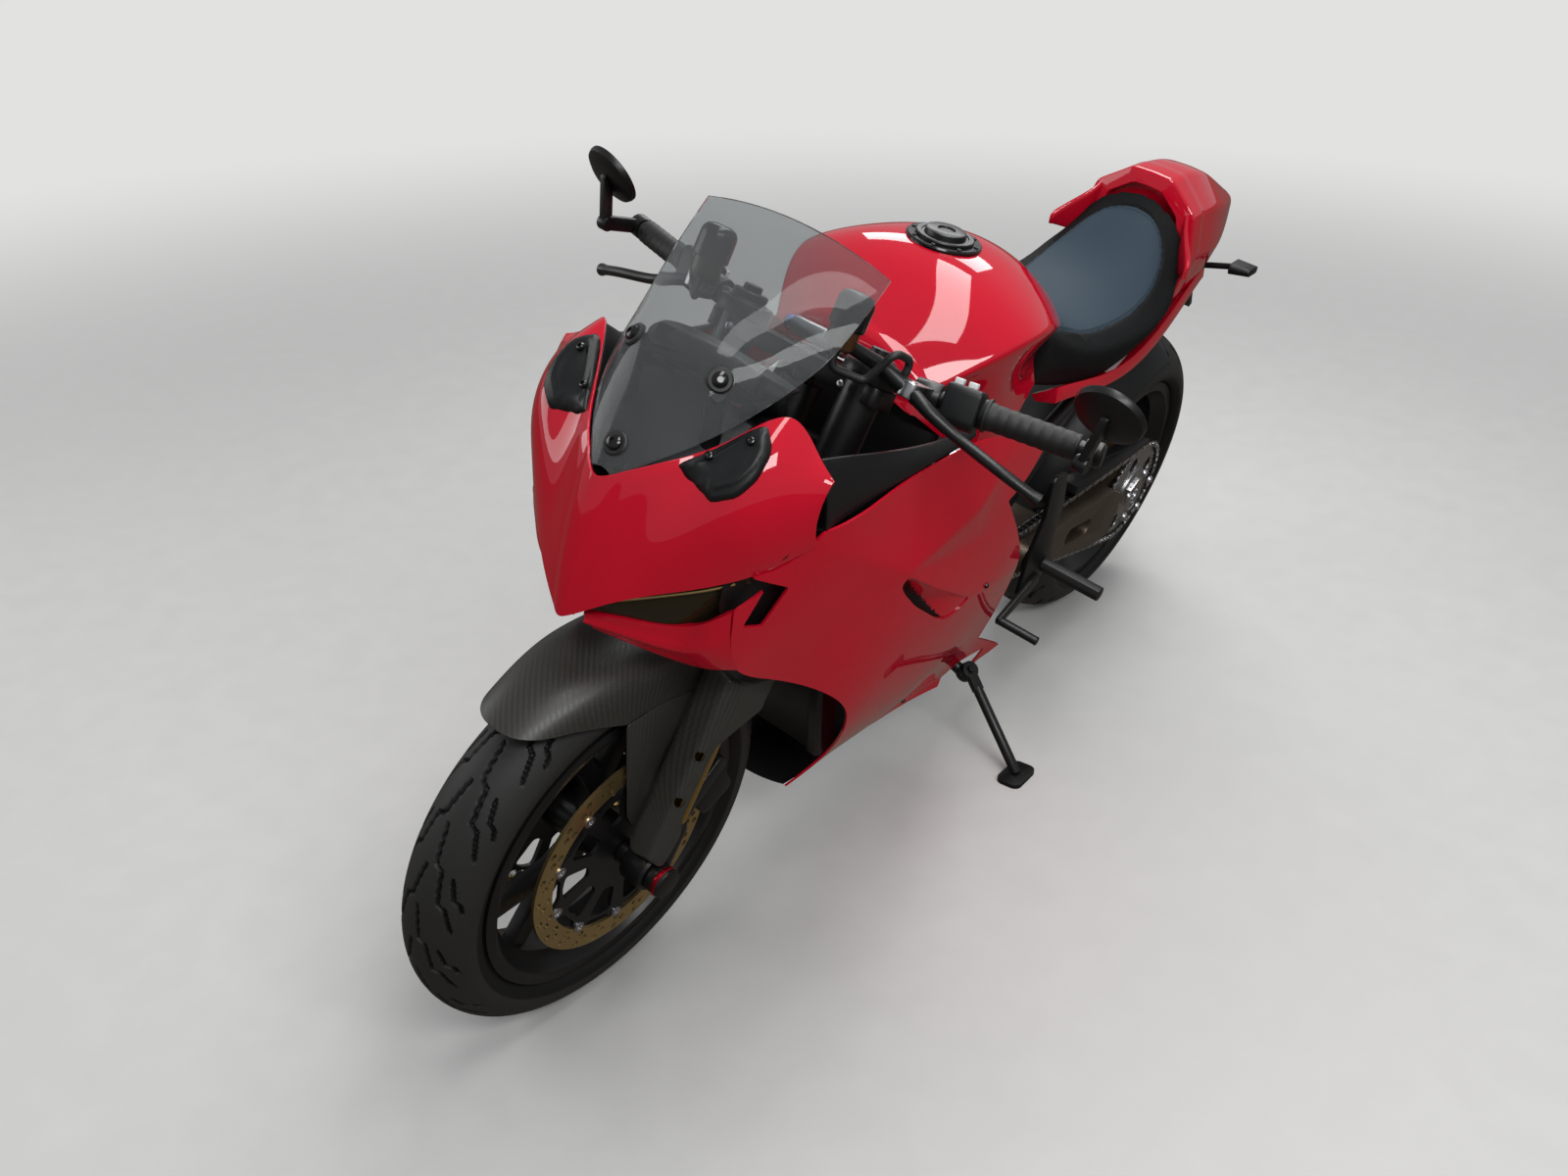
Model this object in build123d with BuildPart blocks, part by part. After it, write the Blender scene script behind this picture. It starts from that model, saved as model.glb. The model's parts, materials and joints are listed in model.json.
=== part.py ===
"""A fully faired sport bike parked on its side stand, in millimetres: X forward, Y to the rider's left, Z up.

Every piece is drawn on an upright bike whose origin lies on the floor midway between the axles. The pieces that
steer are then turned about the steering axis, and the whole bike is leaned over onto its stand.
"""
import os
from math import asin, atan2, cos, degrees, pi, radians, sin, sqrt, tan

from build123d import *

# Stance of the parked bike
WHEELBASE = 1478.0
LEAN = 12.1
RAKE = 24.0
TRAIL = 91.0
STEER_REST = -3.4

# Wheels and tyres
FRONT_R = 300.0
FRONT_HALF = 58.0
FRONT_CROWN = 62.0
FRONT_BEAD = 46.0
REAR_R = 315.0
REAR_HALF = 89.0
REAR_CROWN = 95.0
REAR_BEAD = 70.0
BEAD_R = 216.0
SPOKES = 3
DISC_R = 160.0
DISC_Y = 62.8
AXLE_R = 12.5

# Fork and steering, measured along the steering axis from the floor (s) and forward of it (f)
FORK_F = 30.0
FORK_Y = 105.0
FORK_OUTER_R = 27.0
FORK_INNER_R = 21.5
STEM_R = 15.0
LOWER_CLAMP_S = 800.0
UPPER_CLAMP_S = 1000.0
FORK_TOP_S = 1046.0

# Drive line
CHAIN_Y = 108.0
CHAIN_PITCH = 15.875
FRONT_TEETH = 15
REAR_TEETH = 43
PIVOT = (-215.0, 0.0, 400.0)
OUTPUT = (-140.0, CHAIN_Y, 402.0)

# Bodywork
SHELL = 4.0
GAP = 2.0

# Clear space between pieces that turn and their bearings
PLAY = 0.3

SN, CS = sin(radians(RAKE)), cos(radians(RAKE))
STEER_FOOT = Vector(WHEELBASE / 2 + TRAIL, 0, 0)
STEER_UP = Vector(-SN, 0, CS)
STEER_AHEAD = Vector(CS, 0, SN)
HALF_BASE = WHEELBASE / 2
REAR_AXLE_Z = (REAR_R - REAR_CROWN) + REAR_CROWN / cos(radians(LEAN))


def steer_point(f, y, s):
    """A point of the steering given forward of its axis, sideways and along it."""
    return STEER_FOOT + STEER_UP * s + STEER_AHEAD * f + Vector(0, y, 0)


def steer_plane(s, f=0.0, y=0.0):
    """A plane square to the steering axis: X forward, Y left."""
    return Plane(origin=steer_point(f, y, s), x_dir=STEER_AHEAD, z_dir=STEER_UP)


def fork_side(y):
    """A plane along the fork, seen from the left: X forward of the axis, Y up along it."""
    return Plane(origin=STEER_FOOT + Vector(0, y, 0), x_dir=STEER_AHEAD, z_dir=(0, -1, 0))


def station(x):
    """A cross-section plane: X left, Y up."""
    return Plane(origin=(x, 0, 0), x_dir=(0, 1, 0), z_dir=(1, 0, 0))


def side(y):
    """A lengthways plane: X forward, Y up."""
    return Plane(origin=(0, y, 0), x_dir=(1, 0, 0), z_dir=(0, -1, 0))


# The front axle height that puts the tyre on the floor once the bike is steered and leaned
axle_line = Vector(0, 1, 0).rotate(Axis((0, 0, 0), STEER_UP), STEER_REST).rotate(Axis.X, -LEAN)
upright = sqrt(1 - axle_line.Z ** 2)
FRONT_AXLE_Z = FRONT_R
for _ in range(6):
    spoke = Vector(HALF_BASE, 0, FRONT_AXLE_Z) - STEER_FOOT
    hub = (spoke.rotate(Axis((0, 0, 0), STEER_UP), STEER_REST) + STEER_FOOT).rotate(Axis.X, -LEAN)
    FRONT_AXLE_Z -= hub.Z - (FRONT_R - FRONT_CROWN) * upright - FRONT_CROWN
FRONT_AXLE = Vector(HALF_BASE, 0, FRONT_AXLE_Z)
REAR_AXLE = Vector(-HALF_BASE, 0, REAR_AXLE_Z)
AXLE_F = (FRONT_AXLE - STEER_FOOT).dot(STEER_AHEAD)
AXLE_S = (FRONT_AXLE - STEER_FOOT).dot(STEER_UP)

made = {}


def keep(piece, label, steers=False):
    """Put a finished piece on the list of those to be parked and written."""
    made[label] = (piece, steers)


def largest(shape):
    """The main solid of a cut piece, without loose chips."""
    with BuildPart() as whole:
        add(shape.solids().sort_by(SortBy.VOLUME)[-1])
    return whole.part


def sheet(rows, plane, inward):
    """A bent sheet lofted through arcs: each row gives a station and the start, middle and end of its arc."""
    with BuildPart() as panel:
        for at, start, middle, end in rows:
            du, dv = inward
            with BuildSketch(plane(at)):
                with BuildLine():
                    ThreePointArc(start, middle, end)
                    Line(end, (end[0] + du, end[1] + dv))
                    ThreePointArc(
                        (end[0] + du, end[1] + dv), (middle[0] + du, middle[1] + dv), (start[0] + du, start[1] + dv)
                    )
                    Line((start[0] + du, start[1] + dv), start)
                make_face()
        loft()
    return panel.part


def pod(rows):
    """A closed body lofted along X: crown height, widest half width and its height, base half width and height."""
    with BuildPart() as body:
        for x, top, wide, wide_z, base, base_z in rows:
            with BuildSketch(station(x)):
                with BuildLine():
                    ThreePointArc((wide, wide_z), (0, top), (-wide, wide_z))
                    Line((-wide, wide_z), (-base, base_z))
                    Line((-base, base_z), (base, base_z))
                    Line((base, base_z), (wide, wide_z))
                make_face()
        loft()
    return body.part


def rod(start, end, radius):
    """A round bar between two points."""
    start, end = Vector(*start), Vector(*end)
    with BuildPart() as bar:
        with BuildSketch(Plane(origin=start, z_dir=end - start)):
            Circle(radius)
        extrude(amount=(end - start).length)
    return bar.part


def pipe(points, radius, hollow=0.0):
    """A tube swept along points that are rounded into tangent arcs."""
    with BuildPart() as tube:
        with BuildLine() as path:
            FilletPolyline(*points, radius=radius * 2.2)
        with BuildSketch(Plane(origin=path.line @ 0, z_dir=path.line % 0)):
            Circle(radius)
            if hollow:
                Circle(hollow, mode=Mode.SUBTRACT)
        sweep()
    return tube.part


def slab(points, y, thick, edge=0.0):
    """A plate cut to a side-view outline, from y outwards by its thickness."""
    with BuildPart() as plate:
        with BuildSketch(side(y)) as outline:
            with BuildLine():
                Polyline(*points, close=True)
            make_face()
            if edge:
                fillet(outline.vertices(), edge)
        extrude(amount=-thick)
    return plate.part


# Tyres: a crown arc, bulging walls and a bead on each side of the rim
def tyre(radius, half, crown, bead_y):
    wall = 9.0
    shoulder = radius - crown + sqrt(crown ** 2 - half ** 2)
    bead = BEAD_R + 0.3
    with BuildPart() as ring:
        with BuildSketch(Plane.XY):
            with BuildLine():
                ThreePointArc((shoulder, -half), (radius, 0), (shoulder, half))
                ThreePointArc((shoulder, half), ((shoulder + bead + 12) / 2, half - 1), (bead + 12, bead_y))
                Line((bead + 12, bead_y), (bead, bead_y))
                Line((bead, bead_y), (bead, bead_y - 10))
                Line((bead, bead_y - 10), (shoulder - 4, half - wall))
                ThreePointArc((shoulder - 4, half - wall), (radius - wall, 0), (shoulder - 4, wall - half))
                Line((shoulder - 4, wall - half), (bead, 10 - bead_y))
                Line((bead, 10 - bead_y), (bead, -bead_y))
                Line((bead, -bead_y), (bead + 12, -bead_y))
                ThreePointArc((bead + 12, -bead_y), ((shoulder + bead + 12) / 2, 1 - half), (shoulder, -half))
            make_face()
        revolve(axis=Axis.Y)
    return ring.part


# Wheels: a dropped barrel, a hub and three spokes that fork before the barrel
def wheel(bead_y, hub_r, hub_from, hub_to, bore, spoke_y):
    half = [
        (BEAD_R + 10, bead_y + 5.5),
        (BEAD_R + 10, bead_y + 0.4),
        (BEAD_R, bead_y + 0.4),
        (BEAD_R, bead_y - 12),
        (BEAD_R - 18, bead_y - 20),
    ]
    back = [(BEAD_R - 26, bead_y - 22), (BEAD_R - 11, bead_y - 2), (BEAD_R - 8, bead_y + 5.5)]
    with BuildPart() as disc:
        with BuildSketch(Plane.XY):
            with BuildLine():
                Polyline(
                    *half, *[(r, -y) for r, y in reversed(half)], *[(r, -y) for r, y in reversed(back)], *back, close=True
                )
            make_face()
        revolve(axis=Axis.Y)
        with BuildSketch(Plane(origin=(0, hub_from, 0), z_dir=(0, 1, 0))):
            Circle(hub_r)
        extrude(amount=hub_to - hub_from)
        for k in range(SPOKES):
            turn = 90 + k * 360 / SPOKES
            with BuildSketch(Plane(origin=(0, spoke_y, 0), x_dir=(1, 0, 0), z_dir=(0, -1, 0))):
                with BuildLine():
                    Polyline(
                        *[
                            (r * cos(radians(turn + a)), r * sin(radians(turn + a)))
                            for r, a in [
                                (hub_r - 4, -40), (82, -14), (BEAD_R - 20, -21), (BEAD_R - 20, -13.5), (112, -3),
                                (112, 3), (BEAD_R - 20, 13.5), (BEAD_R - 20, 21), (82, 14), (hub_r - 4, 40),
                            ]
                        ],
                        close=True,
                    )
                make_face()
            extrude(amount=11, both=True)
        with BuildSketch(Plane(origin=(0, hub_from, 0), z_dir=(0, 1, 0))):
            Circle(bore)
        extrude(amount=hub_to - hub_from, mode=Mode.SUBTRACT)
    return disc.part


front_at = Location(FRONT_AXLE)
rear_at = Location(REAR_AXLE)
keep(tyre(FRONT_R, FRONT_HALF, FRONT_CROWN, FRONT_BEAD).moved(front_at), "front_tyre", True)
keep(tyre(REAR_R, REAR_HALF, REAR_CROWN, REAR_BEAD).moved(rear_at), "rear_tyre")
keep(wheel(FRONT_BEAD, 36, -60, 60, AXLE_R + PLAY, 0).moved(front_at), "front_rim", True)
keep(wheel(REAR_BEAD, 44, -60, 8, 20, -34).moved(rear_at), "rear_rim")

# Front brake discs: a swept band, bobbins and a spider bolted to each end of the hub
with BuildPart() as front_discs:
    for way in (1, -1):
        with BuildSketch(Plane(origin=(0, way * (DISC_Y - 2.5), 0), z_dir=(0, way, 0))):
            Circle(DISC_R)
            Circle(DISC_R - 33, mode=Mode.SUBTRACT)
            with PolarLocations(DISC_R - 38, 10):
                Circle(9)
            Circle(DISC_R - 44)
            with PolarLocations(78, 5):
                Circle(23, mode=Mode.SUBTRACT)
            Circle(17, mode=Mode.SUBTRACT)
        extrude(amount=5)
keep(front_discs.part.moved(front_at), "front_discs", True)

# Rear brake disc on the inner side of the rear hub
with BuildPart() as rear_disc:
    with BuildSketch(Plane(origin=(0, 8.3, 0), z_dir=(0, 1, 0))):
        Circle(122.5)
        Circle(48, mode=Mode.SUBTRACT)
        with PolarLocations(70, 6):
            Circle(14, mode=Mode.SUBTRACT)
        Circle(44)
        Circle(32.3, mode=Mode.SUBTRACT)
        with PolarLocations(46, 6):
            Circle(6)
    extrude(amount=6)
keep(rear_disc.part.moved(rear_at), "rear_disc")

# Rear sprocket with its carrier and the hollow axle that joins it to the wheel through the hub
rear_pitch = CHAIN_PITCH / 2 / sin(pi / REAR_TEETH)
front_pitch = CHAIN_PITCH / 2 / sin(pi / FRONT_TEETH)
with BuildPart() as rear_sprocket:
    with BuildSketch(Plane(origin=(0, CHAIN_Y - 3, 0), z_dir=(0, 1, 0))):
        Circle(rear_pitch + 3)
        with PolarLocations(rear_pitch, REAR_TEETH):
            Circle(5.2, mode=Mode.SUBTRACT)
        with PolarLocations(72, 5, start_angle=18):
            Circle(17, mode=Mode.SUBTRACT)
    extrude(amount=6)
    with BuildSketch(Plane(origin=(0, -61, 0), z_dir=(0, 1, 0))):
        Circle(19.7)
    extrude(amount=69.2)
    with BuildSketch(Plane(origin=(0, 8.2, 0), z_dir=(0, 1, 0))):
        Circle(32)
    extrude(amount=CHAIN_Y + 12 - 8.2)
    with BuildSketch(Plane(origin=(0, CHAIN_Y + 3, 0), z_dir=(0, 1, 0))):
        Circle(54)
    extrude(amount=5)
    with BuildSketch(Plane(origin=(0, CHAIN_Y + 8, 0), z_dir=(0, 1, 0))):
        RegularPolygon(36, 6)
    extrude(amount=10)
    with BuildSketch(Plane(origin=(0, -78, 0), z_dir=(0, 1, 0))):
        RegularPolygon(33, 6)
    extrude(amount=17.7)
    with BuildSketch(Plane(origin=(0, -78, 0), z_dir=(0, 1, 0))):
        Circle(13)
    extrude(amount=CHAIN_Y + 96, mode=Mode.SUBTRACT)
keep(rear_sprocket.part.moved(rear_at), "rear_sprocket")

# Swingarm: one arm on the left that steps inside the wheel to carry the hub
ax, az = REAR_AXLE.X, REAR_AXLE.Z
with BuildPart() as swingarm:
    with BuildSketch(side(96)) as arm_outline:
        with BuildLine():
            Polyline(
                (-190, 418), (-400, 415), (-560, 402), (ax + 122, az + 56), (ax + 122, az - 40),
                (-520, 286), (-340, 338), (-190, 378), close=True,
            )
        make_face()
        fillet(arm_outline.vertices(), 9)
    extrude(amount=-42)
    with BuildSketch(side(96)):
        with Locations((-430, 362)):
            SlotOverall(110, 36, rotation=9)
    extrude(amount=-42, mode=Mode.SUBTRACT)
    with BuildSketch(side(28)):
        with Locations((ax, az)):
            Circle(74)
        with BuildLine():
            Polyline((ax, az + 66), (ax + 150, az + 46), (ax + 150, az - 40), (ax, az - 66), close=True)
        make_face()
    extrude(amount=-70)
    with BuildSketch(side(28)):
        with Locations((ax, az)):
            Circle(60)
    extrude(amount=-70, mode=Mode.SUBTRACT)
    with BuildSketch(side(-92)):
        with Locations((PIVOT[0], PIVOT[2])):
            Circle(28)
    extrude(amount=-230)
    with BuildSketch(side(-92)) as cross_outline:
        with BuildLine():
            Polyline((-225, 424), (-330, 418), (-360, 380), (-330, 345), (-225, 376), close=True)
        make_face()
        fillet(cross_outline.vertices(), 8)
    extrude(amount=-189)
    with BuildSketch(side(-95)):
        with Locations((PIVOT[0], PIVOT[2])):
            Circle(14)
    extrude(amount=-240, mode=Mode.SUBTRACT)
keep(swingarm.part, "swingarm")

# Eccentric rear hub with the brake caliper hung below it
with BuildPart() as rear_hub:
    with BuildSketch(side(22)):
        with Locations((ax, az)):
            Circle(59.8)
            Circle(32 + PLAY, mode=Mode.SUBTRACT)
    extrude(amount=-78)
    with BuildSketch(side(22)) as caliper_outline:
        with BuildLine():
            Polyline((ax - 40, az - 40), (ax + 40, az - 40), (ax + 46, az - 148), (ax - 46, az - 148), close=True)
        make_face()
        fillet(caliper_outline.vertices().sort_by(Axis.Z)[:2], 14)
    extrude(amount=-5.5)
    with BuildSketch(side(-8)):
        with Locations((ax, az - 122)):
            RectangleRounded(84, 56, 12)
    extrude(amount=-35)
    with BuildSketch(side(5)):
        with Locations((ax, az)):
            Circle(131)
    extrude(amount=-12, mode=Mode.SUBTRACT)
    with BuildSketch(side(22)):
        with Locations((ax, az)):
            Circle(32 + PLAY)
    extrude(amount=-78, mode=Mode.SUBTRACT)
keep(rear_hub.part, "rear_hub")

# Chain: two bands of side plates, with rollers where the runs are straight
run = Vector(OUTPUT[0] - ax, 0, OUTPUT[2] - az)
slope = atan2(run.Z, run.X)
spread = asin((rear_pitch - front_pitch) / run.length)


def chain_end(upper, extra=0.0):
    """Where a straight run leaves the rear and the front sprocket, in the side view."""
    lift = slope + (pi / 2 - spread) * (1 if upper else -1)
    rear = (ax + (rear_pitch + extra) * cos(lift), az + (rear_pitch + extra) * sin(lift))
    front = (OUTPUT[0] + (front_pitch + extra) * cos(lift), OUTPUT[2] + (front_pitch + extra) * sin(lift))
    return rear, front


def chain_loop(extra):
    """The closed line of the chain, moved outwards by a little."""
    rear_up, front_up = chain_end(True, extra)
    rear_low, front_low = chain_end(False, extra)
    behind = (ax - (rear_pitch + extra) * cos(slope), az - (rear_pitch + extra) * sin(slope))
    ahead = (OUTPUT[0] + (front_pitch + extra) * cos(slope), OUTPUT[2] + (front_pitch + extra) * sin(slope))
    with BuildLine() as loop:
        Line(rear_up, front_up)
        ThreePointArc(front_up, ahead, front_low)
        Line(front_low, rear_low)
        ThreePointArc(rear_low, behind, rear_up)
    return loop.line


top_rear, top_front = chain_end(True)
low_rear, low_front = chain_end(False)
with BuildPart() as chain:
    for y in (CHAIN_Y - 7.0, CHAIN_Y + 4.2):
        with BuildSketch(side(y)):
            add(make_face(chain_loop(6.5).edges(), mode=Mode.PRIVATE))
            add(make_face(chain_loop(-6.5).edges(), mode=Mode.PRIVATE), mode=Mode.SUBTRACT)
        extrude(amount=-2.8)
    rollers = []
    for rear, front in ((top_rear, top_front), (low_rear, low_front)):
        length = sqrt((front[0] - rear[0]) ** 2 + (front[1] - rear[1]) ** 2)
        for k in range(int((length - 96) / CHAIN_PITCH)):
            share = (48 + k * CHAIN_PITCH) / length
            rollers.append((rear[0] + (front[0] - rear[0]) * share, rear[1] + (front[1] - rear[1]) * share))
    with BuildSketch(side(CHAIN_Y - 7.0)):
        with Locations(*rollers):
            RegularPolygon(4.6, 6)
    extrude(amount=-14)
keep(chain.part, "chain")

# Engine: crankcase, two cylinders in an L, side covers, output sprocket and a lug that carries the radiator
with BuildPart() as engine:
    with BuildSketch(side(-95)) as case_outline:
        with BuildLine():
            Polyline(
                (-180, 300), (-150, 232), (40, 226), (150, 250), (190, 320), (175, 420), (60, 462), (-120, 462),
                (-182, 440), close=True,
            )
        make_face()
        fillet(case_outline.vertices(), 14)
    extrude(amount=-190)
    with BuildSketch(Plane(origin=(110, 0, 345), x_dir=(0, 1, 0), z_dir=(cos(radians(16)), 0, sin(radians(16))))):
        RectangleRounded(128, 118, 16)
    extrude(amount=165)
    with BuildSketch(Plane(origin=(270, 0, 391), x_dir=(0, 1, 0), z_dir=(cos(radians(16)), 0, sin(radians(16))))):
        RectangleRounded(160, 138, 20)
    extrude(amount=68)
    with BuildSketch(Plane(origin=(0, 0, 440), x_dir=(0, 1, 0), z_dir=(-sin(radians(16)), 0, cos(radians(16))))):
        RectangleRounded(128, 118, 16)
    extrude(amount=150)
    with BuildSketch(Plane(origin=(-42, 0, 586), x_dir=(0, 1, 0), z_dir=(-sin(radians(16)), 0, cos(radians(16))))):
        RectangleRounded(144, 138, 20)
    extrude(amount=80)
    for way, where, reach in ((1, (50, 350), 38), (-1, (-30, 350), 33)):
        with BuildSketch(Plane(origin=(where[0], way * 90, where[1]), z_dir=(0, way, 0))):
            Circle(88)
        extrude(amount=reach, taper=8)
    with BuildSketch(side(90)):
        with Locations((OUTPUT[0], OUTPUT[2])):
            Circle(24)
    extrude(amount=-34)
    with BuildSketch(side(CHAIN_Y - 3.4)):
        with Locations((OUTPUT[0], OUTPUT[2])):
            Circle(front_pitch + 2.5)
    extrude(amount=-6.8)
    with BuildSketch(side(CHAIN_Y + 10)) as cover_outline:
        with BuildLine():
            Polyline((-178, 372), (-60, 340), (-20, 400), (-60, 458), (-178, 440), close=True)
        make_face()
        fillet(cover_outline.vertices(), 16)
    extrude(amount=-8)
    with BuildSketch(side(94)):
        with Locations((-62, 398)):
            RectangleRounded(40, 76, 8)
    extrude(amount=-30)
    with BuildSketch(side(-20)):
        with Locations((380, 405)):
            Rectangle(120, 26)
    extrude(amount=-40)
    with BuildSketch(side(-100)):
        with Locations((PIVOT[0], PIVOT[2])):
            Circle(28.4)
    extrude(amount=-240, mode=Mode.SUBTRACT)

# Radiator: a core between two side tanks, raked to follow the wheel
with BuildPart() as radiator:
    lean_dir = Vector(75, 0, 300).normalized()
    with BuildSketch(Plane(origin=(372, 0, 310), x_dir=(0, 1, 0), z_dir=lean_dir)):
        Rectangle(226, 34)
    extrude(amount=292)
    for way in (1, -1):
        with BuildSketch(Plane(origin=(372, way * 125, 310), x_dir=(0, 1, 0), z_dir=lean_dir)):
            RectangleRounded(26, 46, 8)
        extrude(amount=292)
keep(radiator.part, "radiator")
with BuildPart() as engine_cut:
    add(engine.part)
    add(radiator.part, mode=Mode.SUBTRACT)
keep(largest(engine_cut.part), "engine")

# Exhaust: a header from each cylinder and a short box with two outlets on the right
box_dir = Vector(-1, -0.05, 0.30).normalized()
with BuildPart() as exhaust:
    add(pipe([(280, -30, 316), (280, -34, 214), (90, -46, 196), (-110, -52, 196), (-178, -118, 216), (-215, -150, 228)], 22))
    add(pipe([(-56, -64, 588), (-92, -112, 556), (-168, -126, 470), (-186, -122, 310), (-214, -150, 250)], 20))
    with BuildSketch(Plane(origin=(-196, -152, 236), x_dir=(0, 1, 0), z_dir=box_dir)):
        RectangleRounded(84, 104, 34)
    extrude(amount=44)
    with BuildSketch(Plane(origin=Vector(-196, -152, 236) + box_dir * 40, x_dir=(0, 1, 0), z_dir=box_dir)):
        RectangleRounded(98, 126, 40)
    extrude(amount=216)
    for lift in (31, -31):
        with BuildSketch(Plane(origin=Vector(-196, -152, 236) + box_dir * 250, x_dir=(0, 1, 0), z_dir=box_dir)):
            with Locations((0, lift)):
                Circle(27)
        extrude(amount=46)
        with BuildSketch(Plane(origin=Vector(-196, -152, 236) + box_dir * 262, x_dir=(0, 1, 0), z_dir=box_dir)):
            with Locations((0, lift)):
                Circle(22.5)
        extrude(amount=40, mode=Mode.SUBTRACT)
    add(engine.part, mode=Mode.SUBTRACT)
keep(largest(exhaust.part), "exhaust")

# Fuel tank and its filler cap
TANK = [
    # x, crown, widest, height of widest, base half width, base height
    (318, 955, 132, 905, 114, 862),
    (235, 1014, 178, 956, 154, 800),
    (140, 1028, 185, 962, 158, 772),
    (40, 1010, 162, 934, 138, 772),
    (-64, 956, 124, 890, 110, 786),
]
tank = pod(TANK)
with BuildPart() as fuel_cap:
    cap_dir = Vector(-0.06, 0, 1).normalized()
    with BuildSketch(Plane(origin=Vector(138, 0, 1015), z_dir=cap_dir)):
        Circle(44)
    extrude(amount=20)
    with BuildSketch(Plane(origin=Vector(138, 0, 1015) + cap_dir * 20, z_dir=cap_dir)):
        Circle(31)
    extrude(amount=7)
with BuildPart() as fuel_tank:
    add(tank)
    add(fuel_cap.part, mode=Mode.SUBTRACT)
keep(fuel_tank.part, "fuel_tank")
keep(fuel_cap.part, "fuel_cap")

# Seat, tail cowl and the strips along the seat base
SEAT = [
    (-64.4, 946, 118, 880, 108, 800),
    (-150, 872, 112, 830, 110, 774),
    (-230, 826, 120, 800, 116, 752),
    (-330, 815, 132, 790, 126, 736),
    (-430, 830, 138, 796, 124, 734),
    (-520, 892, 128, 826, 116, 752),
    (-575, 958, 116, 866, 108, 782),
]
TAIL = [
    (-430, 905, 60, 868, 60, 850),
    (-576.5, 986, 112, 868, 104, 784),
    (-700, 982, 104, 848, 92, 776),
    (-850, 934, 76, 838, 66, 788),
    (-976, 884, 34, 858, 30, 838),
]
seat_body = pod(SEAT)
tail_body = pod(TAIL)
# Frame: steering head, trellis of tubes past the cylinders and the tail tubes under the seat
tubes = []
for way in (1, -1):
    tubes.append(pipe([(462, way * 14, 842), (300, way * 98, 742), (0, way * 87, 640), (-190, way * 87, 612),
                       (-420, way * 78, 682), (-800, way * 50, 762)], 13))
    for start, end, radius in (
        ((476, 14, 800), (240, 96, 580), 13), ((300, 97, 738), (236, 96, 584), 10), ((236, 96, 584), (20, 88, 646), 11),
        ((240, 96, 582), (262, 70, 462), 11), ((-190, 87, 612), (-150, 84, 470), 11), ((-420, 78, 680), (-166, 85, 500), 10),
        ((150, 92, 690), (150, 92, 800), 9), ((-400, 76, 676), (-400, 76, 760), 9),
    ):
        tubes.append(rod((start[0], way * start[1], start[2]), (end[0], way * end[1], end[2]), radius))
for x, y, z, radius in ((-420, 78, 682, 10), (-700, 58, 741, 10), (-190, 87, 612, 13)):
    tubes.append(rod((x, -y, z), (x, y, z), radius))
with BuildPart() as frame:
    add(tubes)
    with BuildSketch(steer_plane(842)):
        Circle(28)
    extrude(amount=142)
    with BuildSketch(steer_plane(780)):
        Circle(STEM_R + PLAY)
    extrude(amount=260, mode=Mode.SUBTRACT)
    add([engine.part, tank, seat_body], mode=Mode.SUBTRACT)
frame_solid = largest(frame.part)
keep(frame_solid, "frame")

# Rear shock between the swingarm and the frame
with BuildPart() as rear_shock:
    shock_from, shock_to = Vector(-322, 0, 424), Vector(-206, 0, 606)
    shock_dir = (shock_to - shock_from).normalized()
    with BuildSketch(Plane(origin=shock_from, z_dir=shock_dir)):
        Circle(12)
    extrude(amount=(shock_to - shock_from).length)
    with BuildSketch(Plane(origin=shock_from + shock_dir * 34, z_dir=shock_dir)):
        Circle(33)
    extrude(amount=8)
    with BuildSketch(Plane(origin=shock_from + shock_dir * 42, z_dir=shock_dir)):
        Circle(28)
    extrude(amount=108)
    with BuildSketch(Plane(origin=shock_from + shock_dir * 150, z_dir=shock_dir)):
        Circle(33)
    extrude(amount=16)
    add(frame_solid, mode=Mode.SUBTRACT)
    add(swingarm.part, mode=Mode.SUBTRACT)
keep(largest(rear_shock.part), "rear_shock")

# Footrests: hanger plates on the swingarm pivot shaft, pegs and heel guards
with BuildPart() as footrests:
    with BuildSketch(side(-152)):
        with Locations((PIVOT[0], PIVOT[2])):
            Circle(14 - PLAY)
    extrude(amount=-304)
    for y in (144, -152):
        with BuildSketch(side(y)) as hanger:
            with BuildLine():
                Polyline(
                    (-186, 330), (-262, 336), (-292, 372), (-268, 420), (-262, 500), (-230, 580), (-176, 586),
                    (-196, 500), (-180, 420), close=True,
                )
            make_face()
            fillet(hanger.vertices(), 12)
        extrude(amount=-8)
    for way in (1, -1):
        with BuildSketch(Plane(origin=(-262, way * 150, 372), z_dir=(0, way, 0))):
            RegularPolygon(14, 8)
        extrude(amount=118)
    add(exhaust.part, mode=Mode.SUBTRACT)
keep(largest(footrests.part), "footrests")

# Gear lever on the left and brake pedal on the right
with BuildPart() as foot_controls:
    for way in (1, -1):
        near = 152.3 if way > 0 else -152.3
        with BuildSketch(side(near)) as arm:
            with BuildLine():
                Polyline((-238, 366), (-210, 362), (-112, 324), (-118, 308), (-216, 334), (-244, 344), close=True)
            make_face()
            fillet(arm.vertices(), 5)
        extrude(amount=-8 * way)
        with BuildSketch(Plane(origin=(-124, way * 155, 316), z_dir=(0, way, 0))):
            Circle(8)
        extrude(amount=78)
keep(foot_controls.part, "foot_controls")

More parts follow.
